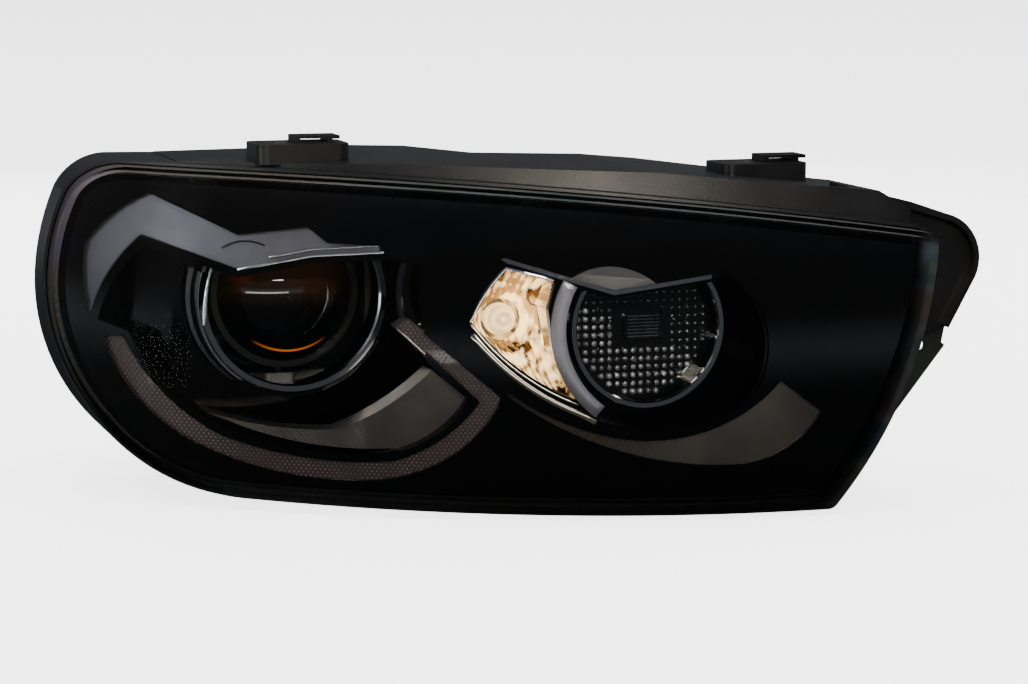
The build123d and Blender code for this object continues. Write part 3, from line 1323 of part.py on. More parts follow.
with BuildPart() as lens_holder:
    add(holder_shell)
    with BuildSketch(Plane.XY.offset(PROJECTOR_Z - LUG_Z + 0.5)):
        with Locations((PROJECTOR_X, SWIVEL_Y)):
            Circle(6.5)
    extrude(amount=2 * LUG_Z - 1)
    add(holder_cavity, mode=Mode.SUBTRACT)
    with BuildSketch(Plane.XY.offset(PROJECTOR_Z - LUG_Z)):
        with Locations((PROJECTOR_X, SWIVEL_Y)):
            Circle(PIN_R)
    extrude(amount=2 * LUG_Z, mode=Mode.SUBTRACT)
    with BuildSketch(Plane.YZ.offset(PROJECTOR_X)):
        with Locations((SHUTTER_Y, SHUTTER_Z)):
            Circle(SHUTTER_SHAFT_R + RUNNING)
    extrude(amount=60, both=True, mode=Mode.SUBTRACT)
    add(can_pocket.part, mode=Mode.SUBTRACT)
lens_holder.part.label = "lens_holder"
export_step(lens_holder.part, "parts/lens_holder.step")

with BuildPart() as shutter:
    with BuildSketch(at_depth(SHUTTER_Y + 0.8)):
        with Locations((PROJECTOR_X, PROJECTOR_Z)):
            Circle(35.5)
        with Locations((PROJECTOR_X, PROJECTOR_Z + 30)):
            Rectangle(80, 62, mode=Mode.SUBTRACT)
        with Locations((PROJECTOR_X, SHUTTER_Z - 20)):
            Rectangle(80, 40, mode=Mode.SUBTRACT)
        with Locations((PROJECTOR_X + 20, PROJECTOR_Z - 2)):
            Rectangle(40, 2, mode=Mode.SUBTRACT)
    extrude(amount=1.6)
    with BuildSketch(Plane.YZ.offset(PROJECTOR_X - 30.5)):
        with Locations((SHUTTER_Y, SHUTTER_Z)):
            Circle(SHUTTER_SHAFT_R)
    extrude(amount=62)
shutter.part.label = "shutter"
export_step(shutter.part, "parts/shutter.step")

with BuildPart() as shutter_motor:
    with BuildSketch(Plane.YZ.offset(CAN_X)):
        with Locations((SHUTTER_Y, SHUTTER_Z)):
            Circle(8)
    extrude(amount=-10)
    with BuildSketch(Plane.YZ.offset(CAN_X - 10)):
        with Locations((SHUTTER_Y, SHUTTER_Z)):
            Circle(5)
    extrude(amount=-2)
shutter_motor.part.label = "shutter_motor"
export_step(shutter_motor.part, "parts/shutter_motor.step")

reflector_shell = turned(
    PROJECTOR_X, PROJECTOR_Z,
    (FLANGE_R, FLANGE_Y), (FLANGE_R, FLANGE_Y + 3), (40, FLANGE_Y + 3), (37, 55), (28, 68), (16, 76), (16, 82),
    (12.2, 82), (12.2, 75), (25, 66), (34, 54), (37.6, FLANGE_Y),
)
with BuildPart() as projector_reflector:
    add(reflector_shell)
    add(can_pocket.part, mode=Mode.SUBTRACT)
projector_reflector.part.label = "projector_reflector"
export_step(projector_reflector.part, "parts/projector_reflector.step")

burner_body = turned(
    PROJECTOR_X, PROJECTOR_Z,
    (0, 45), (2, 45), (3, 48), (4.6, 53), (4.6, 56), (3, 61), (3, 72), (12, 74), (12, 82), (15.8, 82), (15.8, 84),
    (12, 84), (12, 88), (0, 88),
)
with BuildPart() as xenon_burner:
    add(burner_body)
xenon_burner.part.label = "xenon_burner"
export_step(xenon_burner.part, "parts/xenon_burner.step")

ring_body = turned(
    PROJECTOR_X, PROJECTOR_Z, (16, 78), (19, 78), (19, 87), (12.2, 87), (12.2, 84), (16, 84)
)
with BuildPart() as burner_ring:
    add(ring_body)
burner_ring.part.label = "burner_ring"
export_step(burner_ring.part, "parts/burner_ring.step")

with BuildPart() as igniter:
    with BuildSketch(at_depth(108)):
        with Locations((PROJECTOR_X, PROJECTOR_Z)):
            RectangleRounded(30, 30, 3)
    extrude(amount=20)
    with BuildSketch(at_depth(102)):
        with Locations((PROJECTOR_X, PROJECTOR_Z - 16)):
            RectangleRounded(16, 8, 1.5)
    extrude(amount=9)
igniter.part.label = "igniter"
export_step(igniter.part, "parts/igniter.step")

# ---------------------------------------------------------------- swivel pins, toothed sector, pinion and motor
SECTOR_TOP = PROJECTOR_Z - LUG_Z - LUG_THICK - 3.2
with BuildPart() as swivel_pins:
    with BuildSketch(Plane.XY.offset(PROJECTOR_Z + 40)):
        with Locations((PROJECTOR_X, SWIVEL_Y)):
            Circle(PIN_R)
    extrude(amount=LUG_Z + LUG_THICK - 40)
    with BuildSketch(Plane.XY.offset(PROJECTOR_Z - 40)):
        with Locations((PROJECTOR_X, SWIVEL_Y)):
            Circle(PIN_R)
    extrude(amount=-(PROJECTOR_Z - 40 - SECTOR_TOP + 4))
swivel_pins.part.label = "swivel_pins"
export_step(swivel_pins.part, "parts/swivel_pins.step")

TOOTH_ROOT = 1.7
TOOTH_PITCH = 360 / 52  # angle between the sector's teeth
with BuildPart() as swivel_sector:
    with BuildSketch(Plane.XY.offset(SECTOR_TOP - 4)):
        with Locations((PROJECTOR_X, SWIVEL_Y)):
            Circle(7)
            with PolarLocations(SECTOR_R / 2, 1, 90):
                Rectangle(SECTOR_R - 6, 9)
        with BuildLine():
            rim_r = SECTOR_R - 1.3
            hub = (PROJECTOR_X, SWIVEL_Y)
            rim = CenterArc(hub, rim_r, 48, 84)
            rim_in = CenterArc(hub, rim_r - 5, 48, 84)
            Line(rim @ 0, rim_in @ 0)
            Line(rim @ 1, rim_in @ 1)
        make_face()
        with Locations((PROJECTOR_X, SWIVEL_Y)):
            with PolarLocations(SECTOR_R - 0.3, 12, 90 - 5.5 * TOOTH_PITCH, 12 * TOOTH_PITCH,
                endpoint=False):
                Trapezoid(TOOTH_ROOT, 2.4, 76, rotation=-90)
            Circle(PIN_R, mode=Mode.SUBTRACT)
    extrude(amount=4)
swivel_sector.part.label = "swivel_sector"
export_step(swivel_sector.part, "parts/swivel_sector.step")

with BuildPart() as swivel_pinion:
    with BuildSketch(Plane.XY.offset(SECTOR_TOP - 4.5)):
        with Locations((PROJECTOR_X, MESH_Y)):
            Circle(PINION_R - 1.3)
            with PolarLocations(PINION_R - 0.3, 12, -90):
                Trapezoid(TOOTH_ROOT, 2.4, 76, rotation=-90)
    extrude(amount=5)
    with BuildSketch(Plane.XY.offset(SECTOR_TOP - 4)):
        with Locations((PROJECTOR_X, MESH_Y)):
            Circle(2)
    extrude(amount=-(SECTOR_TOP - 4 - SHELF_Z + 8))
swivel_pinion.part.label = "swivel_pinion"
export_step(swivel_pinion.part, "parts/swivel_pinion.step")

with BuildPart() as swivel_motor:
    with BuildSketch(Plane.XY.offset(SHELF_Z - 3)):
        with Locations((PROJECTOR_X, 46)):
            RectangleRounded(43, 32, 4)
        with Locations((PROJECTOR_X, MESH_Y)):
            Circle(2 + RUNNING, mode=Mode.SUBTRACT)
    extrude(amount=-6)
    with BuildSketch(Plane.XY.offset(SHELF_Z - 9)):
        with Locations((PROJECTOR_X, 46)):
            RectangleRounded(43, 32, 4)
    extrude(amount=-14)
    with BuildSketch(at_depth(36)):
        with Locations((PROJECTOR_X - 26, SHELF_Z - 14)):
            RectangleRounded(12, 12, 2)
    extrude(amount=-16)
swivel_motor.part.label = "swivel_motor"
export_step(swivel_motor.part, "parts/swivel_motor.step")
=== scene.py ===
from math import cos, pi, radians, sin, sqrt

import bmesh
import bpy
from mathutils import Matrix, Vector


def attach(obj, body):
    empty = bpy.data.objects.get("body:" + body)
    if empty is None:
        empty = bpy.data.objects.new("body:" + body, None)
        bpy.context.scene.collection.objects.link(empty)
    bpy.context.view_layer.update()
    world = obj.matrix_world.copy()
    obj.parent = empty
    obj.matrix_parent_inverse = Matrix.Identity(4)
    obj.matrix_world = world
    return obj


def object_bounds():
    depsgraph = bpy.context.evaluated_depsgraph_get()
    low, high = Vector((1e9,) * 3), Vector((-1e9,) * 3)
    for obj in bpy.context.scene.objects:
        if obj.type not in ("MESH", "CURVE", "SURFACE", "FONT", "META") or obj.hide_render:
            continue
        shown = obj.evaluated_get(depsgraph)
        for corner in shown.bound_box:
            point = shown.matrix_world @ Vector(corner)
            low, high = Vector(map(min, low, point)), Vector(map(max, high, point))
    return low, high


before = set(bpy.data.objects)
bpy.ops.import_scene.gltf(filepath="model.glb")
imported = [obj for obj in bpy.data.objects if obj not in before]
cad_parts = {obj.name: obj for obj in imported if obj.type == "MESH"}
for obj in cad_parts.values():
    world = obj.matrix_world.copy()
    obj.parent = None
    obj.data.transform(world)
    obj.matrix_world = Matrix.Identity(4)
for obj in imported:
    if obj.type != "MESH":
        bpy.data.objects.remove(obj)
cad_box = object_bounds()
scene = bpy.context.scene

# ---------------------------------------------------------------- view, floor and studio light
# The camera stands in front, a little outboard of the lamp and above it. The floor is plain
# pale paper, and the light is soft, from boxes over, beside, in front of and behind the lamp.
VIEW_TURN, VIEW_RISE = radians(17), radians(8)
CAMERA_PLACE = (-0.3638, -1.6175, 0.1261)
CAMERA_LENS = 109.9
FLOOR_GLOW, ROOM_GLOW = 3.2, 3.6
FLOOR_SIZE = 40
look = Vector((sin(VIEW_TURN) * cos(VIEW_RISE), cos(VIEW_TURN) * cos(VIEW_RISE), -sin(VIEW_RISE)))
camera_data = bpy.data.cameras.new("studio_camera")
camera_data.lens = CAMERA_LENS
camera_data.sensor_width = 36
camera_data.clip_end = 100
camera = bpy.data.objects.new("studio_camera", camera_data)
scene.collection.objects.link(camera)
camera.location = CAMERA_PLACE
camera.rotation_euler = look.to_track_quat("-Z", "Y").to_euler()
scene.camera = camera


def new_finish(name):
    """A new material with its node tree and its surface shader."""
    material = bpy.data.materials.new(name)
    material.use_nodes = True
    return material, material.node_tree, material.node_tree.nodes["Principled BSDF"]


def shell(name, work, material, body, smooth=True, corner=radians(35)):
    """Turns a bmesh into a named piece that rides on a body."""
    for face in work.faces:
        face.smooth = smooth
    for edge in work.edges:
        edge.smooth = len(edge.link_faces) == 2 and edge.calc_face_angle(0) < corner
    mesh = bpy.data.meshes.new(name)
    work.to_mesh(mesh)
    work.free()
    mesh.materials.append(material)
    piece = bpy.data.objects.new(name, mesh)
    scene.collection.objects.link(piece)
    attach(piece, body)
    return piece


paper, paper_tree, paper_shader = new_finish("pale_paper")
paper_shader.inputs["Base Color"].default_value = (0.9, 0.9, 0.9, 1)
paper_shader.inputs["Roughness"].default_value = 0.9
paper_shader.inputs["Specular IOR Level"].default_value = 0.1
paper_shader.inputs["Emission Color"].default_value = (1, 1, 1, 1)
paper_shader.inputs["Emission Strength"].default_value = FLOOR_GLOW
ground = bmesh.new()
bmesh.ops.create_grid(ground, x_segments=1, y_segments=1, size=FLOOR_SIZE,
                      matrix=Matrix.Translation((0, 0, cad_box[0].z)))
floor_mesh = bpy.data.meshes.new("floor")
ground.to_mesh(floor_mesh)
ground.free()
floor_mesh.materials.append(paper)
floor = bpy.data.objects.new("floor", floor_mesh)
scene.collection.objects.link(floor)
floor.visible_glossy = floor.visible_diffuse = False

# The room is white to the eye and dim to the lamp, with pale stripes for the plating to mirror.
world = bpy.data.worlds.new("studio")
world.use_nodes = True
room = world.node_tree
seen = room.nodes["Background"]
seen.inputs["Color"].default_value = (1, 1, 1, 1)
seen.inputs["Strength"].default_value = ROOM_GLOW
felt = room.nodes.new("ShaderNodeBackground")
felt.inputs["Strength"].default_value = 1.0
height = room.nodes.new("ShaderNodeTexCoord")
level = room.nodes.new("ShaderNodeSeparateXYZ")
stripes = room.nodes.new("ShaderNodeValToRGB")
for position, grey in ((0.3, 0.03), (0.46, 0.06), (0.5, 0.42), (0.54, 0.05), (0.68, 0.08), (0.74, 0.3),
                       (0.86, 0.07)):
    stop = stripes.color_ramp.elements.new(position)
    stop.color = (0.9 * grey, 0.93 * grey, grey, 1)
stripes.color_ramp.elements[0].color = (0.02, 0.02, 0.025, 1)
stripes.color_ramp.elements[-1].color = (0.14, 0.15, 0.17, 1)
lift = room.nodes.new("ShaderNodeMapRange")
lift.inputs["From Min"].default_value = -1
room.links.new(height.outputs["Generated"], level.inputs["Vector"])
room.links.new(level.outputs["Z"], lift.inputs["Value"])
room.links.new(lift.outputs["Result"], stripes.inputs["Fac"])
room.links.new(stripes.outputs["Color"], felt.inputs["Color"])
ray = room.nodes.new("ShaderNodeLightPath")
either = room.nodes.new("ShaderNodeMixShader")
room.links.new(ray.outputs["Is Camera Ray"], either.inputs["Fac"])
room.links.new(felt.outputs["Background"], either.inputs[1])
room.links.new(seen.outputs["Background"], either.inputs[2])
room.links.new(either.outputs["Shader"], room.nodes["World Output"].inputs["Surface"])
scene.world = world


def soft_box(name, place, aim, width, height, power, tint=(1, 1, 1), mirrored=True):
    """A soft light at a place, turned to shine on another."""
    data = bpy.data.lights.new(name, "AREA")
    data.shape = "RECTANGLE"
    data.size, data.size_y = width, height
    data.energy = power
    data.color = tint
    box = bpy.data.objects.new(name, data)
    scene.collection.objects.link(box)
    box.location = place
    box.visible_glossy = mirrored
    box.rotation_euler = (Vector(aim) - Vector(place)).to_track_quat("-Z", "Y").to_euler()
    return box


LAMP_MIDDLE = (0.0, -0.03, -0.1)
soft_box("overhead", (0.1, -0.3, 1.5), (0.1, -0.05, -0.1), 2.4, 1.2, 26, mirrored=False)
left_strip = soft_box("outboard_strip", (-1.4, -0.4, 0.35), LAMP_MIDDLE, 0.4, 1.4, 6)
low_strip = soft_box("low_strip", (-0.5, -1.3, -0.12), LAMP_MIDDLE, 1.6, 0.05, 1.6, (1, 0.95, 0.85))
inner_fill = soft_box("warm_fill", (-0.15, -1.5, 0.55), (0.13, -0.1, -0.1), 0.45, 0.45, 9, (1, 0.9, 0.76))
soft_box("rear_fill", (0.15, 1.7, 0.7), (0.1, 0.05, -0.1), 1.6, 1.0, 22, mirrored=False)
soft_box("inboard_fill", (1.8, 0.5, 0.3), (0.2, 0.05, -0.1), 0.9, 0.9, 12, mirrored=False)
soft_box("room_wash", (0.0, 0.5, 3.4), (0.0, 0.5, 0), 6, 6, 110, mirrored=False)
# These boxes are flagged off the flat black faces, so that the faces don't mirror them.
for light, unlit in ((inner_fill, ("front_cover", "bezel", "projector_bowl", "side_bowl")),
                     (left_strip, ("bezel", "projector_bowl")),
                     (low_strip, ("front_cover", "bezel", "projector_bowl", "side_bowl", "projector_trim"))):
    shaded = bpy.data.collections.new(light.name + "_shaded")
    for node in unlit:
        shaded.objects.link(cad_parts[node])
    light.light_linking.receiver_collection = shaded
    for member in shaded.collection_objects:
        member.light_linking.link_state = "EXCLUDE"

# ---------------------------------------------------------------- housing
# The back shell is injection-moulded in black talc-filled polypropylene. It carries the mounting
# pads, the wing, the peg and the collars of the service openings, all in one shot.


def grained(name, dark, light, rough, lift=0.00015, pitch=1100, metal=0.0, patch=28):
    """A moulded or cast surface: fine grain, uneven gloss and a slight drift of colour."""
    material, tree, shader = new_finish(name)
    shader.inputs["Metallic"].default_value = metal
    place = tree.nodes.new("ShaderNodeTexCoord")
    cloud = tree.nodes.new("ShaderNodeTexNoise")
    cloud.inputs["Scale"].default_value = patch
    cloud.inputs["Detail"].default_value = 5
    tint = tree.nodes.new("ShaderNodeValToRGB")
    tint.color_ramp.elements[0].position, tint.color_ramp.elements[1].position = 0.35, 0.65
    tint.color_ramp.elements[0].color = (*dark, 1)
    tint.color_ramp.elements[1].color = (*light, 1)
    gloss = tree.nodes.new("ShaderNodeMapRange")
    gloss.inputs["To Min"].default_value, gloss.inputs["To Max"].default_value = rough
    fine = tree.nodes.new("ShaderNodeTexNoise")
    fine.inputs["Scale"].default_value = pitch
    bump = tree.nodes.new("ShaderNodeBump")
    bump.inputs["Strength"].default_value = 0.5
    bump.inputs["Distance"].default_value = lift
    for texture in (cloud, fine):
        tree.links.new(place.outputs["Object"], texture.inputs["Vector"])
    tree.links.new(cloud.outputs["Fac"], tint.inputs["Fac"])
    tree.links.new(tint.outputs["Color"], shader.inputs["Base Color"])
    tree.links.new(cloud.outputs["Fac"], gloss.inputs["Value"])
    tree.links.new(gloss.outputs["Result"], shader.inputs["Roughness"])
    tree.links.new(fine.outputs["Fac"], bump.inputs["Height"])
    tree.links.new(bump.outputs["Normal"], shader.inputs["Normal"])
    return material


def dress(material, *nodes):
    """Gives a CAD piece its finish."""
    for node in nodes:
        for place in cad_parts[node].material_slots:
            place.material = material


polypropylene = grained("black_polypropylene", (0.006, 0.006, 0.007), (0.012, 0.012, 0.013), (0.28, 0.45))
dress(polypropylene, "housing")

# ---------------------------------------------------------------- side bracket
# The bracket under the wing is a separate moulding in glass-filled nylon, dark grey-green, with
# a coarser grain than the housing. It is clipped on behind the wing.
bracket_nylon = grained("grey_green_nylon", (0.012, 0.016, 0.015), (0.024, 0.031, 0.028), (0.4, 0.6),
                        0.0003, 700)
dress(bracket_nylon, "side_bracket")

# ---------------------------------------------------------------- steel clips, sleeves and screws
# Spring clips on the two upper pads, sleeves in the mounts and the module screws are all steel,
# zinc plated, with the clips blackened so that they don't glint in the bonnet gap.
zinc = grained("zinc_plate", (0.42, 0.42, 0.4), (0.6, 0.6, 0.57), (0.22, 0.4), 0.00004, 900, 1.0)
dress(zinc, "mount_sleeves", "module_screws", "bezel_screws", "pivot_stud", "swivel_pins", "burner_ring",
      "shutter")
blackened = grained("blackened_spring_steel", (0.015, 0.015, 0.016), (0.035, 0.035, 0.037), (0.3, 0.45),
                    0.00004, 900, 0.8)
dress(blackened, "spring_clips")

# ---------------------------------------------------------------- sealing beads and gaskets
# The cover sits in a bead of black butyl, and the caps and the levelling motor on rubber rings.
# They are soft and dull, with a slightly lumpy skin.
butyl = grained("black_butyl", (0.008, 0.008, 0.008), (0.018, 0.018, 0.018), (0.45, 0.7), 0.0004, 260)
dress(butyl, "cover_seal", "cap_seals", "motor_seal")

# ---------------------------------------------------------------- rear caps, motor, connector, breather
# The service caps, the levelling motor's case and the breather are black nylon, and the main
# connector is grey, all moulded with a satin grain.
black_nylon = grained("black_nylon", (0.01, 0.01, 0.011), (0.022, 0.022, 0.023), (0.32, 0.5), 0.00015, 1300)
dress(black_nylon, "projector_cap", "side_cap", "level_motor", "breather", "shutter_motor", "swivel_motor")
grey_nylon = grained("grey_nylon", (0.13, 0.135, 0.14), (0.19, 0.195, 0.2), (0.38, 0.55), 0.00015, 1300)
dress(grey_nylon, "main_connector", "turn_holder", "side_bulb")
natural_nylon = grained("natural_nylon", (0.58, 0.56, 0.48), (0.72, 0.7, 0.62), (0.35, 0.5), 0.0001, 900)
dress(natural_nylon, "level_spindle", "horizontal_adjuster", "vertical_adjuster", "pivot_socket", "aim_nut",
      "swivel_sector", "swivel_pinion")

# ---------------------------------------------------------------- die-cast modules and frames
# The ballast, the daytime lamp's driver, the carrier frame and the igniter are aluminium die
# castings, grey and slightly sandy. The lens holder is a die casting too, finished black.
cast_aluminium = grained("cast_aluminium", (0.34, 0.345, 0.35), (0.5, 0.505, 0.51), (0.38, 0.58), 0.0003,
                         800, 0.9)
dress(cast_aluminium, "ballast", "led_driver", "carrier_frame", "igniter")
black_casting = grained("blackened_casting", (0.006, 0.006, 0.006), (0.014, 0.014, 0.014), (0.25, 0.4),
                        0.0002, 800, 0.3)
dress(black_casting, "lens_holder")

# ---------------------------------------------------------------- bezel and bowls
# The mask behind the cover and the bowls round the two lamps are polished black polycarbonate,
# almost a mirror, so that they read as black depth.
piano_black = grained("polished_black", (0.0022, 0.0022, 0.0028), (0.0035, 0.0035, 0.0045), (0.06, 0.13),
                      0.000004, 500)
dress(piano_black, "bezel", "projector_bowl", "side_bowl")

# ---------------------------------------------------------------- brow over the projector
# One moulding in satin chrome that sweeps from the outboard end over the lens. A thin bar is
# clipped along its lower edge, satin outboard and bright over the lens, beside a small oval boss.
MM = 0.001
CROWN = (310.0, -134.0)
WRAP = (312.0, 143.0, 209.0)  # radius and centre of the outboard wrap in plan
FRONT = (596.0, 301.0, 445.0)  # radius and centre of the face in plan


def skin(x, z, inset):
    """Depth of the surface that lies inset behind the cover's face, all in millimetres."""
    radius, centre_x, centre_y = WRAP if x < 0.556 * inset - 30.6 else FRONT
    plan = centre_y - sqrt((radius - inset) ** 2 - (x - centre_x) ** 2)
    return CROWN[0] - sqrt((CROWN[0] - plan) ** 2 - (z - CROWN[1]) ** 2)


def bow(start, middle, end, steps=12):
    """Points along the arc through three points, the last one left out."""
    (ax, ay), (bx, by), (cx, cy) = start, middle, end
    d = 2 * (ax * (by - cy) + bx * (cy - ay) + cx * (ay - by))
    sa, sb, sc = ax * ax + ay * ay, bx * bx + by * by, cx * cx + cy * cy
    hub = Vector(((sa * (by - cy) + sb * (cy - ay) + sc * (ay - by)) / d,
                  (sa * (cx - bx) + sb * (ax - cx) + sc * (bx - ax)) / d))
    arm, far, mid = Vector(start) - hub, Vector(end) - hub, Vector(middle) - hub
    turn = arm.angle_signed(far)
    if arm.angle_signed(mid) * turn < 0 or abs(arm.angle_signed(mid)) > abs(turn):
        turn -= 2 * pi * (1 if turn > 0 else -1)
    found = []
    for step in range(steps):
        spun = Matrix.Rotation(-turn * step / steps, 2) @ arm
        found.append((hub.x + spun.x, hub.y + spun.y))
    return found


def arc(start, middle, end, steps=12):
    """Points along the arc through three points, with the last one."""
    return bow(start, middle, end, steps) + [end]


def bead(name, path, width, insets, material, steps=1, round_off=0.25):
    """A moulded strip that follows the cover's curve along a path of X and Z, in millimetres."""
    fine = []
    for a, b in zip(path, path[1:]):
        fine += [Vector(a).lerp(Vector(b), step / steps) for step in range(steps)]
    fine.append(Vector(path[-1]))
    work = bmesh.new()
    rings = []
    for index, point in enumerate(fine):
        before, after = fine[max(index - 1, 0)], fine[min(index + 1, len(fine) - 1)]
        run = (after - before).normalized()
        side = Vector((-run.y, run.x)) * width / 2
        ring = []
        for edge, inset in ((side, insets[0]), (-side, insets[0]), (-side, insets[1]), (side, insets[1])):
            x, z = point + edge
            ring.append(work.verts.new((x * MM, skin(x, z, inset) * MM, z * MM)))
        rings.append([work.edges.new((ring[k], ring[(k + 1) % 4])) for k in range(4)])
    for one, other in zip(rings, rings[1:]):
        bmesh.ops.bridge_loops(work, edges=one + other)
    bmesh.ops.holes_fill(work, edges=work.edges, sides=4)
    bmesh.ops.recalc_face_normals(work, faces=work.faces)
    long_edges = [e for e in work.edges if len(e.link_faces) == 2 and e.calc_face_angle(0) > radians(50)]
    bmesh.ops.bevel(work, geom=long_edges, offset=round_off * MM, offset_type="OFFSET", segments=2,
                    profile=0.5,
                    affect="EDGES", material=-1, clamp_overlap=True)
    return shell(name, work, material, "housing")


satin_chrome = grained("satin_chrome", (0.12, 0.12, 0.145), (0.17, 0.17, 0.2), (0.3, 0.42), 0.00003, 1500,
                       0.35)
bright_satin = grained("bright_satin", (0.25, 0.25, 0.3), (0.33, 0.33, 0.38), (0.22, 0.32), 0.00003, 1500,
                       0.5)
chrome = grained("bright_chrome", (0.8, 0.8, 0.82), (0.88, 0.88, 0.9), (0.03, 0.09), 0.000004, 300, 1.0)
dress(satin_chrome, "brow_blade")
bead("brow_bar_tip", arc((-96, -92), (-84.5, -66), (-72, -50.5)), 1.6, (11.4, 12.6), bright_satin)
bead("brow_bar_outboard", [(-71, -49.2), (-29, -64)], 1.9, (11.2, 12.6), bright_satin, 8)
bead("brow_bar_over_lens", [(-29, -63), (6, -54.6), (39, -52)], 1.3, (9.6, 12.6), chrome, 6)
bead("brow_bar_upper_lip", [(-14, -56.2), (6, -51.4), (39, -48.6)], 0.9, (10.2, 12.6), chrome, 6)
bead("brow_boss", arc((-35, -52.5), (-25, -48.5), (-15, -50.5), 10), 0.8, (11.9, 12.6), piano_black)

# ---------------------------------------------------------------- light guide
# The daytime lamp's guide is one clear acrylic moulding with a smoky rose tint, its face cut all
# over with small prisms that throw the light forwards. Bright beads edge its inner side; those on
# its end and arm are a pale painted highlight where light catches the guide's edge.
guide, tree, shader = new_finish("smoky_acrylic")
shader.inputs["Base Color"].default_value = (0.05, 0.035, 0.036, 1)
shader.inputs["Roughness"].default_value = 0.3
shader.inputs["Coat Weight"].default_value = 0.5
place = tree.nodes.new("ShaderNodeTexCoord")
cells = tree.nodes.new("ShaderNodeTexVoronoi")
cells.inputs["Scale"].default_value = 900
cells.inputs["Randomness"].default_value = 0.35
lift = tree.nodes.new("ShaderNodeBump")
lift.inputs["Strength"].default_value = 0.6
lift.inputs["Distance"].default_value = 0.0003
tree.links.new(place.outputs["Object"], cells.inputs["Vector"])
tree.links.new(cells.outputs["Distance"], lift.inputs["Height"])
tree.links.new(lift.outputs["Normal"], shader.inputs["Normal"])
dress(guide, "drl_guide")

GUIDE_OUTER = (arc((-92, -101), (-76.5, -134), (-46, -157.5)) + [(-18, -168.5), (10, -173), (38, -170)]
               + arc((38, -170), (68, -158), (92, -131)) + [(94, -125), (50, -85.5)])
GUIDE_END = [(81, -127.5)] + bow((81, -127.5), (64, -146), (42, -158))
GUIDE_LOW = bow((42, -158), (1, -158), (-38, -148.5)) + arc((-38, -148.5), (-65, -127), (-81, -100))


def within(x, z, outline):
    """Whether a point lies inside an outline of X and Z."""
    inside = False
    for (ax, az), (bx, bz) in zip(outline, outline[1:] + outline[:1]):
        if (az > z) != (bz > z) and x < (bx - ax) * (z - az) / (bz - az) + ax:
            inside = not inside
    return inside


GUIDE_INSET = 12.5
PRISM_PITCH, PRISM_HALF, PRISM_TIP, PRISM_RISE, PRISM_SUNK, PRISM_MARGIN = 2.2, 0.72, 0.08, 0.9, 0.15, 1.2
TOWARDS_FRONT = Matrix.Rotation(radians(90), 4, "X")
prism_work = bmesh.new()
guide_outline = GUIDE_OUTER + [(43.5, -90)] + GUIDE_END + GUIDE_LOW
z = -174.0
row = 0
while z < -86:
    x = -92.0 + (row % 2) * PRISM_PITCH / 2
    while x < 95:
        if all(within(x + dx, z + dz, guide_outline)
               for dx, dz in ((PRISM_MARGIN, 0), (-PRISM_MARGIN, 0), (0, PRISM_MARGIN), (0, -PRISM_MARGIN))):
            bmesh.ops.create_cone(
                prism_work, cap_ends=True, segments=4, radius1=PRISM_HALF * MM, radius2=PRISM_TIP * MM,
                depth=PRISM_RISE * MM,
                matrix=Matrix.Translation((x * MM, (skin(x, z,
                                          GUIDE_INSET) - PRISM_RISE / 2 + PRISM_SUNK) * MM, z * MM))
                @ TOWARDS_FRONT)
        x += PRISM_PITCH
    z += PRISM_PITCH * 0.8
    row += 1
prism_acrylic = grained("prism_acrylic", (0.34, 0.24, 0.24), (0.6, 0.46, 0.44), (0.1, 0.2), 0.00001, 600, 0.5)
shell("guide_prisms", prism_work, prism_acrylic, "housing", smooth=False)
# A pale finish painted as a highlight along the guide's edge.
guide_edge_painted_highlight = grained("guide_edge_painted_highlight", (0.45, 0.41, 0.38), (0.62, 0.57, 0.53), (0.15, 0.28), 0.00001, 600, 0.4)
bead("guide_bead_low", GUIDE_LOW, 0.8, (11.4, 12.9), bright_satin)
bead("guide_bead_end", GUIDE_END, 1.6, (10.9, 12.9), guide_edge_painted_highlight)
bead("guide_bead_arm", [(44.5, -91), (80.5, -127)], 0.8, (11.2, 12.9), guide_edge_painted_highlight, 10)

# ---------------------------------------------------------------- silver scoops and guide tray
# The scoops under both lamps and the tray behind the light guide are lacquered silver, with a
# fine diagonal knurl cut in the mould that fades out towards the inboard ends.


def knurled(name, dark, light, fade, turn):
    """Silver lacquer over a fine diagonal knurl, which fades out along X between two places."""
    material = grained(name, dark, light, (0.3, 0.42), 0.00004, 1500, 0.45)
    tree = material.node_tree
    shader, bump = tree.nodes["Principled BSDF"], next(n for n in tree.nodes if n.type == "BUMP")
    place = next(n for n in tree.nodes if n.type == "TEX_COORD")
    turned = tree.nodes.new("ShaderNodeMapping")
    turned.inputs["Rotation"].default_value = (0, turn, 0)
    ribs = tree.nodes.new("ShaderNodeTexWave")
    ribs.bands_direction = "X"
    ribs.inputs["Scale"].default_value = 260
    split = tree.nodes.new("ShaderNodeSeparateXYZ")
    reach = tree.nodes.new("ShaderNodeMapRange")
    reach.inputs["From Min"].default_value, reach.inputs["From Max"].default_value = fade
    reach.inputs["To Min"].default_value, reach.inputs["To Max"].default_value = 1.0, 0.0
    depth = tree.nodes.new("ShaderNodeMath")
    depth.operation = "MULTIPLY"
    knurl = tree.nodes.new("ShaderNodeBump")
    knurl.inputs["Strength"].default_value = 0.9
    knurl.inputs["Distance"].default_value = 0.0005
    tree.links.new(place.outputs["Object"], turned.inputs["Vector"])
    tree.links.new(turned.outputs["Vector"], ribs.inputs["Vector"])
    tree.links.new(place.outputs["Object"], split.inputs["Vector"])
    tree.links.new(split.outputs["X"], reach.inputs["Value"])
    tree.links.new(ribs.outputs["Fac"], depth.inputs[0])
    tree.links.new(reach.outputs["Result"], depth.inputs[1])
    tree.links.new(depth.outputs["Value"], knurl.inputs["Height"])
    tree.links.new(bump.outputs["Normal"], knurl.inputs["Normal"])
    tree.links.new(knurl.outputs["Normal"], shader.inputs["Normal"])
    return material


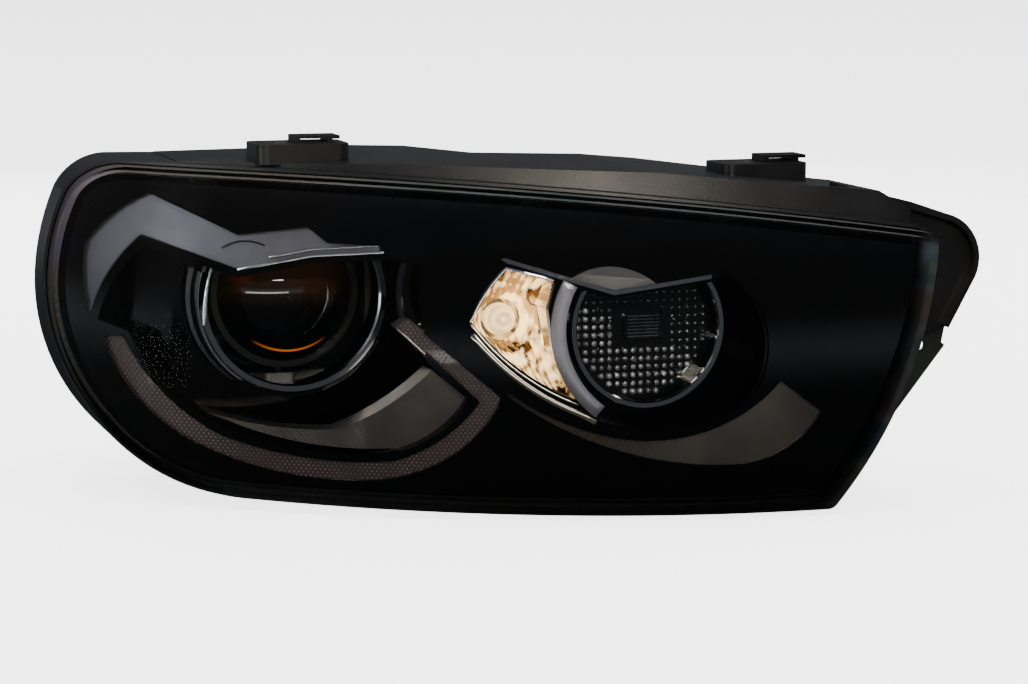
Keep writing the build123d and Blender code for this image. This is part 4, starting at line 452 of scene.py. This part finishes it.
dress(knurled("knurled_silver_projector", (0.055, 0.05, 0.048), (0.09, 0.082, 0.078), (0.02, 0.034),
      radians(35)),
      "lower_scoop", "guide_tray")
dress(knurled("knurled_silver_side", (0.085, 0.077, 0.071), (0.13, 0.117, 0.108), (0.15, 0.2),
      radians(-25)), "side_scoop")
side_edge = (bow((97, -126.5), (150, -153.5), (208, -161.5), 16)
             + arc((208, -161.5), (235, -154), (255, -133.5), 10))
bead("side_scoop_edge", side_edge, 1.1, (10.6, 12.9), bright_satin)
bead("side_scoop_end", [(232.4, -116.6), (254.6, -133.2)], 0.9, (10.6, 12.9), bright_satin, 6)

# ---------------------------------------------------------------- rings round the two lamps
# Each lamp has a ring of electroplated ABS clipped into its bowl, bright on its lip, with painted
# shade inside its tube, black past a depth, and a satin band outboard of it. The thin line over
# the side lamp is chrome too.
dress(chrome, "side_brow")
PROJECTOR_X, PROJECTOR_Z = 3.5, -80
SIDE_X, SIDE_Z = 171, -92


def lip_plated_tube_shaded(name, edge):
    """Chrome on the front lip of a ring, and painted shade inside its tube: black, parted at a depth."""
    material = grained(name, (0.8, 0.8, 0.82), (0.88, 0.88, 0.9), (0.04, 0.1), 0.000004, 300, 1.0)
    tree = material.node_tree
    shader = tree.nodes["Principled BSDF"]
    tint = next(n for n in tree.nodes if n.type == "VALTORGB")
    place = next(n for n in tree.nodes if n.type == "TEX_COORD")
    split = tree.nodes.new("ShaderNodeSeparateXYZ")
    back = tree.nodes.new("ShaderNodeMapRange")
    back.inputs["From Min"].default_value, back.inputs["From Max"].default_value = edge, edge + 0.0006
    # The black past the parting depth is painted shade in the ring's tube.
    dark = tree.nodes.new("ShaderNodeMixRGB")
    dark.inputs["Color2"].default_value = (0.012, 0.012, 0.013, 1)
    tree.links.new(place.outputs["Object"], split.inputs["Vector"])
    tree.links.new(split.outputs["Y"], back.inputs["Value"])
    tree.links.new(back.outputs["Result"], dark.inputs["Fac"])
    tree.links.new(tint.outputs["Color"], dark.inputs["Color1"])
    tree.links.new(dark.outputs["Color"], shader.inputs["Base Color"])
    return material


dress(lip_plated_tube_shaded("projector_ring_plating_tube_shade", -0.0196), "projector_trim")
dress(lip_plated_tube_shaded("side_ring_plating_tube_shade", -0.1026), "side_trim")


def sleeve(name, x, z, radii, depths, material, span):
    """A thin plated band partly round a lamp's axis, from a front radius and depth to a back one."""
    work = bmesh.new()
    wall = 0.4
    corners = [((radii[0] + out) * MM, depth * MM)
               for out, depth in ((0, depths[0]), (radii[1] - radii[0], depths[1]),
                                  (radii[1] - radii[0] + wall, depths[1]), (wall, depths[0]))]
    ring = [work.verts.new((x * MM + radius, depth, z * MM)) for radius, depth in corners]
    edges = [work.edges.new((ring[k], ring[(k + 1) % 4])) for k in range(4)]
    axis_at = (x * MM, 0, z * MM)
    bmesh.ops.rotate(work, cent=axis_at, matrix=Matrix.Rotation(-radians(span[0]), 3, "Y"), verts=ring)
    bmesh.ops.spin(work, geom=ring + edges, cent=axis_at, axis=(0, -1, 0), angle=radians(span[1] - span[0]),
                   steps=96, use_merge=False)
    bmesh.ops.holes_fill(work, edges=work.edges, sides=4)
    bmesh.ops.remove_doubles(work, verts=work.verts, dist=1e-6)
    bmesh.ops.recalc_face_normals(work, faces=work.faces)
    return shell(name, work, material, "housing")


sleeve("projector_sleeve", PROJECTOR_X, PROJECTOR_Z, (50.9, 53.6), (-21.5, -2.0), bright_satin,
       (163, 236))
bead("side_sleeve", arc((127.3, -66.8), (121.2, -100.3), (140.3, -132), 24), 7.4, (9.2, 10.3), bright_satin)

# ---------------------------------------------------------------- turn lamp
# A deep aluminised chamber, fluted to spread the light of the bulb in its back wall. A bright
# lip runs on from it under the side lamp.
warm_mirror = grained("aluminised_mirror", (0.86, 0.82, 0.72), (0.98, 0.95, 0.87), (0.1, 0.22), 0.00003,
                      200, 1.0)
dress(warm_mirror, "turn_reflector", "projector_reflector")
TURN_X, TURN_Z = 104, -90
DISH_BORE_R, DISH_BACK, DISH_DEPTH = 11.5, -62, 53
DISH_BULGE, FLUTE_RISE, FLUTE_PITCH = 5.5, 0.8, 3.4
TURN_OUTLINE = [(79.5, -87), (83.5, -78.5), (90.5, -67.5), (97.5, -60.5), (108, -63.2), (119.5, -66),
                 (118, -73),
                (116, -80), (116.5, -90), (117.5, -99.5), (122, -111), (128, -122), (128.6, -126), (115,
                 -119.5),
                (101, -110), (90, -99.5)]
dish = bmesh.new()
rim = [dish.verts.new((x * MM, (skin(x, z, GUIDE_INSET) + 9) * MM, z * MM)) for x, z in TURN_OUTLINE]
rim_edges = [dish.edges.new((rim[k], rim[(k + 1) % len(rim)])) for k in range(len(rim))]
bore = bmesh.ops.create_circle(
    dish, segments=len(rim), radius=DISH_BORE_R * MM,
    matrix=Matrix.Translation((TURN_X * MM, DISH_BACK * MM, TURN_Z * MM)) @ TOWARDS_FRONT)["verts"]
bore_edges = [e for e in dish.edges if all(v in bore for v in e.verts)]
bmesh.ops.bridge_loops(dish, edges=rim_edges + bore_edges)
bmesh.ops.subdivide_edges(dish, edges=dish.edges[:], cuts=7, use_grid_fill=True)
for vert in dish.verts:
    reach = min(1, max(0, (vert.co.y / MM - DISH_BACK + DISH_DEPTH) / DISH_DEPTH))
    flute = FLUTE_RISE * sin(vert.co.x / MM * 2 * pi / FLUTE_PITCH)
    vert.co.y += (DISH_BULGE * sin(pi * reach) + flute * (1 - reach) * reach * 4) * MM
bmesh.ops.recalc_face_normals(dish, faces=dish.faces)
bmesh.ops.solidify(dish, geom=dish.faces[:] + dish.edges[:] + dish.verts[:], thickness=0.6 * MM)
bmesh.ops.recalc_face_normals(dish, faces=dish.faces)
# The dish's mirror is given a warm emission in noise patches and wavy streaks: a painted glow, as the dish is
# no lamp.
mirror_painted_glow = grained("mirror_painted_glow", (0.16, 0.1, 0.05), (0.6, 0.46, 0.28), (0.06, 0.18), 0.00003, 200, 1.0)
tree = mirror_painted_glow.node_tree
shader = tree.nodes["Principled BSDF"]
shader.inputs["Emission Color"].default_value = (1, 0.66, 0.28, 1)
place = next(n for n in tree.nodes if n.type == "TEX_COORD")
glow_patches = tree.nodes.new("ShaderNodeTexNoise")
glow_patches.inputs["Scale"].default_value = 55
glow_patches.inputs["Distortion"].default_value = 1.2
bright = tree.nodes.new("ShaderNodeMapRange")
bright.inputs["From Min"].default_value, bright.inputs["From Max"].default_value = 0.5, 0.66
bright.inputs["To Max"].default_value = 3.4
tree.links.new(place.outputs["Object"], glow_patches.inputs["Vector"])
glow_streaks = tree.nodes.new("ShaderNodeTexWave")
glow_streaks.inputs["Scale"].default_value = 90
glow_streaks.inputs["Distortion"].default_value = 1.5
blend = tree.nodes.new("ShaderNodeMath")
blend.operation = "MULTIPLY_ADD"
blend.inputs[1].default_value = 0.09
tree.links.new(place.outputs["Object"], glow_streaks.inputs["Vector"])
tree.links.new(glow_streaks.outputs["Fac"], blend.inputs[0])
tree.links.new(glow_patches.outputs["Fac"], blend.inputs[2])
tree.links.new(blend.outputs["Value"], bright.inputs["Value"])
tree.links.new(bright.outputs["Result"], shader.inputs["Emission Strength"])
shell("turn_dish", dish, mirror_painted_glow, "housing", corner=radians(50))
# The turn bulb's glass carries a warm emission: a painted glow that stands in for reflected light.
bulb_painted_glow, tree, shader = new_finish("bulb_glass_painted_glow")
shader.inputs["Base Color"].default_value = (0.95, 0.8, 0.6, 1)
shader.inputs["Transmission Weight"].default_value = 0.5
shader.inputs["Roughness"].default_value = 0.06
shader.inputs["Emission Color"].default_value = (1, 0.7, 0.34, 1)
shader.inputs["Emission Strength"].default_value = 1.1
dress(bulb_painted_glow, "turn_bulb")
gold_chrome = grained("warm_chrome", (0.8, 0.74, 0.6), (0.95, 0.9, 0.78), (0.05, 0.12), 0.000004, 300, 0.9)
turn_top = [(78.4, -86.6)] + arc((78.4, -86.6), (86, -71.5), (96.4, -59), 8) + [(119, -65)]
bead("turn_lip", arc((79, -93), (101, -116), (130, -133), 14) + [(138, -137.5)], 2.6, (8.6, 10.2),
     gold_chrome)
bead("turn_rim_low", arc((78.4, -87.4), (101, -112), (129.6, -128.4), 14), 1.0, (9.0, 12.4), gold_chrome)
bead("turn_rim_top", turn_top, 1.1, (9.0, 12.4), chrome)

# ---------------------------------------------------------------- side lamp
# Its optic is smoked, with a grid of pillows round a ribbed block, and the reflector behind it is
# left dark, so the pillows sparkle on black. The pillows low and outboard on the optic get a paler
# copy of the pillow finish, a painted highlight. A satin cap sits over the chrome line above it.
smoked = grained("dark_plating", (0.012, 0.012, 0.014), (0.03, 0.03, 0.034), (0.1, 0.2), 0.00002, 200, 0.9)
dress(smoked, "side_reflector")
optic, tree, shader = new_finish("smoked_optic")
shader.inputs["Base Color"].default_value = (0.006, 0.0065, 0.008, 1)
shader.inputs["Roughness"].default_value = 0.07
shader.inputs["Coat Weight"].default_value = 1.0
shader.inputs["Coat Roughness"].default_value = 0.03
dress(optic, "side_optic")
PILLOW_PITCH, PILLOW_HALF, PILLOW_RISE, PILLOW_Y = 4.3, 1.75, 1.5, -93.1
OPTIC_R, BLOCK_HALF_X, BLOCK_HALF_Z = 35.5, 13, 9.5
PILLOW_SHAPE = Matrix.Diagonal((PILLOW_HALF * MM, PILLOW_RISE * MM, PILLOW_HALF * MM, 1)) @ TOWARDS_FRONT
plain_pillows, painted_highlight_pillows = bmesh.new(), bmesh.new()
for row in range(-8, 9):
    for column in range(-8, 9):
        x, z = column * PILLOW_PITCH, row * PILLOW_PITCH
        if sqrt(x * x + z * z) > OPTIC_R or (abs(x) < BLOCK_HALF_X and abs(z) < BLOCK_HALF_Z):
            continue
        # Pillows low and outboard are picked out for the painted highlight.
        takes_painted_highlight = z < -4 - 0.45 * x or (x < -22 and z < 8)
        bmesh.ops.create_uvsphere(
            painted_highlight_pillows if takes_painted_highlight else plain_pillows, u_segments=8, v_segments=6, radius=1.0,
            matrix=Matrix.Translation(((SIDE_X + x) * MM, PILLOW_Y * MM, (SIDE_Z + z) * MM)) @ PILLOW_SHAPE)
pillow_finish = grained("pillow_glass", (0.06, 0.065, 0.07), (0.26, 0.27, 0.29), (0.05, 0.12), 0.000004,
                        300, 0.85, 90)
# A paler copy of the pillow finish: a painted highlight where the light catches the pillows.
painted_highlight_glass = grained("pillow_glass_painted_highlight", (0.16, 0.165, 0.18), (0.95, 0.97, 1.0), (0.12, 0.3), 0.000004,
                    300, 0.6, 140)
shell("optic_pillows", plain_pillows, pillow_finish, "housing", corner=pi)
shell("optic_pillows_painted_highlight", painted_highlight_pillows, painted_highlight_glass, "housing", corner=pi)
RIB_R, RIB_LENGTH, RIB_PITCH, RIB_Y = 0.8, 17, 1.75, -96.2
rib_work = bmesh.new()
for step in range(-3, 4):
    bmesh.ops.create_cone(
        rib_work, cap_ends=True, segments=10, radius1=RIB_R * MM, radius2=RIB_R * MM, depth=RIB_LENGTH * MM,
        matrix=Matrix.Translation((SIDE_X * MM, RIB_Y * MM, (SIDE_Z + step * RIB_PITCH) * MM))
        @ Matrix.Rotation(radians(90), 4, "Y"))
shell("optic_ribs", rib_work, pillow_finish, "housing")


def plate(name, outline, insets, material):
    """A thin moulded plate that follows the cover's curve inside an outline of X and Z."""
    work = bmesh.new()
    front = work.faces.new([work.verts.new((x * MM, skin(x, z, insets[0]) * MM, z * MM)) for x, z in outline])
    grown = bmesh.ops.extrude_face_region(work, geom=[front])
    for vert in [v for v in grown["geom"] if isinstance(v, bmesh.types.BMVert)]:
        vert.co.y = skin(vert.co.x / MM, vert.co.z / MM, insets[1]) * MM
    bmesh.ops.recalc_face_normals(work, faces=work.faces)
    return shell(name, work, material, "housing", smooth=False)


cap_outline = arc((128, -64), (147, -58.2), (169, -66.8)) + [(148, -70)]
smoked_satin = grained("smoked_satin", (0.04, 0.042, 0.046), (0.065, 0.068, 0.074), (0.3, 0.42), 0.00003,
                       1500, 0.35)
plate("side_brow_cap", cap_outline, (8.9, 10.0), smoked_satin)

# ---------------------------------------------------------------- projector lens
# A thick glass lens with an anti-glare coating, in front of the burner's clear capsule. The
# lens is drawn opaque, and its colour is a painted reflection of the module: amber and brown in
# its upper half over black, with painted spots of orange-red, green and brown, and a thin orange
# arc low down that is a painted glow.
glass, tree, shader = new_finish("clear_glass")
shader.inputs["Base Color"].default_value = (0.95, 0.97, 0.97, 1)
shader.inputs["Transmission Weight"].default_value = 1.0
shader.inputs["Roughness"].default_value = 0.02
shader.inputs["IOR"].default_value = 1.5
dress(glass, "xenon_burner")
lens_painted_reflection, tree, shader = new_finish("coated_lens_painted_reflection")
shader.inputs["Roughness"].default_value = 0.03
shader.inputs["Coat Weight"].default_value = 1.0
shader.inputs["Coat Roughness"].default_value = 0.02
place = tree.nodes.new("ShaderNodeTexCoord")
centred = tree.nodes.new("ShaderNodeMapping")
centred.inputs["Location"].default_value = (-0.0035, 0, 0.080)
split = tree.nodes.new("ShaderNodeSeparateXYZ")
height = tree.nodes.new("ShaderNodeMapRange")
height.inputs["From Min"].default_value, height.inputs["From Max"].default_value = -0.038, 0.038
# Painted reflection of the module: a ramp by height from black low down through brown to amber and red-brown.
painted_reflection_ramp = tree.nodes.new("ShaderNodeValToRGB")
painted_reflection_ramp.color_ramp.elements[0].position, painted_reflection_ramp.color_ramp.elements[0].color = 0.40, (0.0015, 0.0015, 0.002, 1)
painted_reflection_ramp.color_ramp.elements[1].position, painted_reflection_ramp.color_ramp.elements[1].color = 0.98, (0.09, 0.035, 0.025, 1)
for spot, colour in ((0.5, (0.02, 0.012, 0.004, 1)), (0.62, (0.09, 0.045, 0.012, 1)),
                     (0.8, (0.2, 0.08, 0.03, 1))):
    painted_reflection_ramp.color_ramp.elements.new(spot).color = colour
tree.links.new(place.outputs["Object"], centred.inputs["Vector"])
tree.links.new(centred.outputs["Vector"], split.inputs["Vector"])
tree.links.new(split.outputs["Z"], height.inputs["Value"])
tree.links.new(height.outputs["Result"], painted_reflection_ramp.inputs["Fac"])


def spot_of(tree, source, place, radius, colour, under):
    """Lays a soft round spot of colour over another colour."""
    away = tree.nodes.new("ShaderNodeVectorMath")
    away.operation = "DISTANCE"
    away.inputs[1].default_value = place
    near = tree.nodes.new("ShaderNodeMapRange")
    near.interpolation_type = "SMOOTHSTEP"
    near.inputs["From Min"].default_value, near.inputs["From Max"].default_value = radius, 0.0
    over = tree.nodes.new("ShaderNodeMixRGB")
    over.inputs["Color2"].default_value = colour
    tree.links.new(source, away.inputs[0])
    tree.links.new(away.outputs["Value"], near.inputs["Value"])
    tree.links.new(near.outputs["Result"], over.inputs["Fac"])
    tree.links.new(under, over.inputs["Color1"])
    return over.outputs["Color"]


# Painted reflection spots of orange-red, green and brown laid over the ramp.
paint = painted_reflection_ramp.outputs["Color"]
for spot, radius, colour in (((-0.028, -0.008, 0.014), 0.014, (0.5, 0.07, 0.012, 1)),
                             ((-0.036, -0.002, 0.008), 0.012, (0.03, 0.05, 0.004, 1)),
                             ((0.018, -0.012, 0.016), 0.024, (0.17, 0.065, 0.022, 1))):
    paint = spot_of(tree, centred.outputs["Vector"], spot, radius, colour, paint)
tree.links.new(paint, shader.inputs["Base Color"])
# A thin orange arc near the lower edge: emission masked to a ring and to the low part of the lens, a painted
# glow.
flat = tree.nodes.new("ShaderNodeVectorMath")
flat.operation = "MULTIPLY"
flat.inputs[1].default_value = (1, 0, 1)
away = tree.nodes.new("ShaderNodeVectorMath")
away.operation = "DISTANCE"
away.inputs[1].default_value = (0.001, 0, 0.0035)
band = tree.nodes.new("ShaderNodeMapRange")
band.inputs["From Min"].default_value, band.inputs["From Max"].default_value = 0.0325, 0.0355
line = tree.nodes.new("ShaderNodeValToRGB")
line.color_ramp.elements[0].position, line.color_ramp.elements[0].color = 0.2, (0, 0, 0, 1)
line.color_ramp.elements[1].position, line.color_ramp.elements[1].color = 0.8, (0, 0, 0, 1)
line.color_ramp.elements.new(0.5).color = (1, 0.22, 0.02, 1)
low = tree.nodes.new("ShaderNodeMapRange")
low.inputs["From Min"].default_value, low.inputs["From Max"].default_value = -0.024, -0.032
tree.links.new(centred.outputs["Vector"], flat.inputs[0])
tree.links.new(flat.outputs["Vector"], away.inputs[0])
tree.links.new(away.outputs["Value"], band.inputs["Value"])
tree.links.new(band.outputs["Result"], line.inputs["Fac"])
tree.links.new(split.outputs["Z"], low.inputs["Value"])
tree.links.new(line.outputs["Color"], shader.inputs["Emission Color"])
tree.links.new(low.outputs["Result"], shader.inputs["Emission Strength"])
dress(lens_painted_reflection, "projector_lens")

# ---------------------------------------------------------------- front cover
# One clear polycarbonate moulding with a hard coat, glued into the housing's channel. Faint bands
# of colour are painted into its gloss, a painted reflection that is partly the coat's own colour
# where it runs thick, and the wall looks grey edge on.
cover_clear, tree, gloss = new_finish("hard_coated_cover")
gloss.inputs["Roughness"].default_value = 0.03
place = tree.nodes.new("ShaderNodeTexCoord")
stretch = tree.nodes.new("ShaderNodeMapping")
stretch.inputs["Scale"].default_value = (6, 6, 26)
flow = tree.nodes.new("ShaderNodeTexNoise")
flow.inputs["Scale"].default_value = 1.0
flow.inputs["Distortion"].default_value = 0.6
# Faint blue, green and brown bands in the gloss layer: painted reflection, partly the coat's own thin-film
# colour.
coat = tree.nodes.new("ShaderNodeValToRGB")
coat.color_ramp.elements[0].position, coat.color_ramp.elements[0].color = 0.3, (0.16, 0.2, 0.27, 1)
coat.color_ramp.elements[1].position, coat.color_ramp.elements[1].color = 0.72, (0.26, 0.23, 0.3, 1)
for spot, colour in ((0.42, (0.2, 0.25, 0.22, 1)), (0.5, (0.3, 0.3, 0.31, 1)), (0.6, (0.28, 0.24, 0.2, 1))):
    coat.color_ramp.elements.new(spot).color = colour
see = tree.nodes.new("ShaderNodeBsdfTransparent")
see.inputs["Color"].default_value = (0.97, 0.975, 0.98, 1)
shine = tree.nodes.new("ShaderNodeFresnel")
shine.inputs["IOR"].default_value = 1.22
mix = tree.nodes.new("ShaderNodeMixShader")
tree.links.new(place.outputs["Object"], stretch.inputs["Vector"])
tree.links.new(stretch.outputs["Vector"], flow.inputs["Vector"])
tree.links.new(flow.outputs["Fac"], coat.inputs["Fac"])
tree.links.new(coat.outputs["Color"], gloss.inputs["Base Color"])
tree.links.new(shine.outputs["Fac"], mix.inputs["Fac"])
tree.links.new(see.outputs["BSDF"], mix.inputs[1])
tree.links.new(gloss.outputs["BSDF"], mix.inputs[2])
tree.links.new(mix.outputs["Shader"], tree.nodes["Material Output"].inputs["Surface"])
dress(cover_clear, "front_cover")
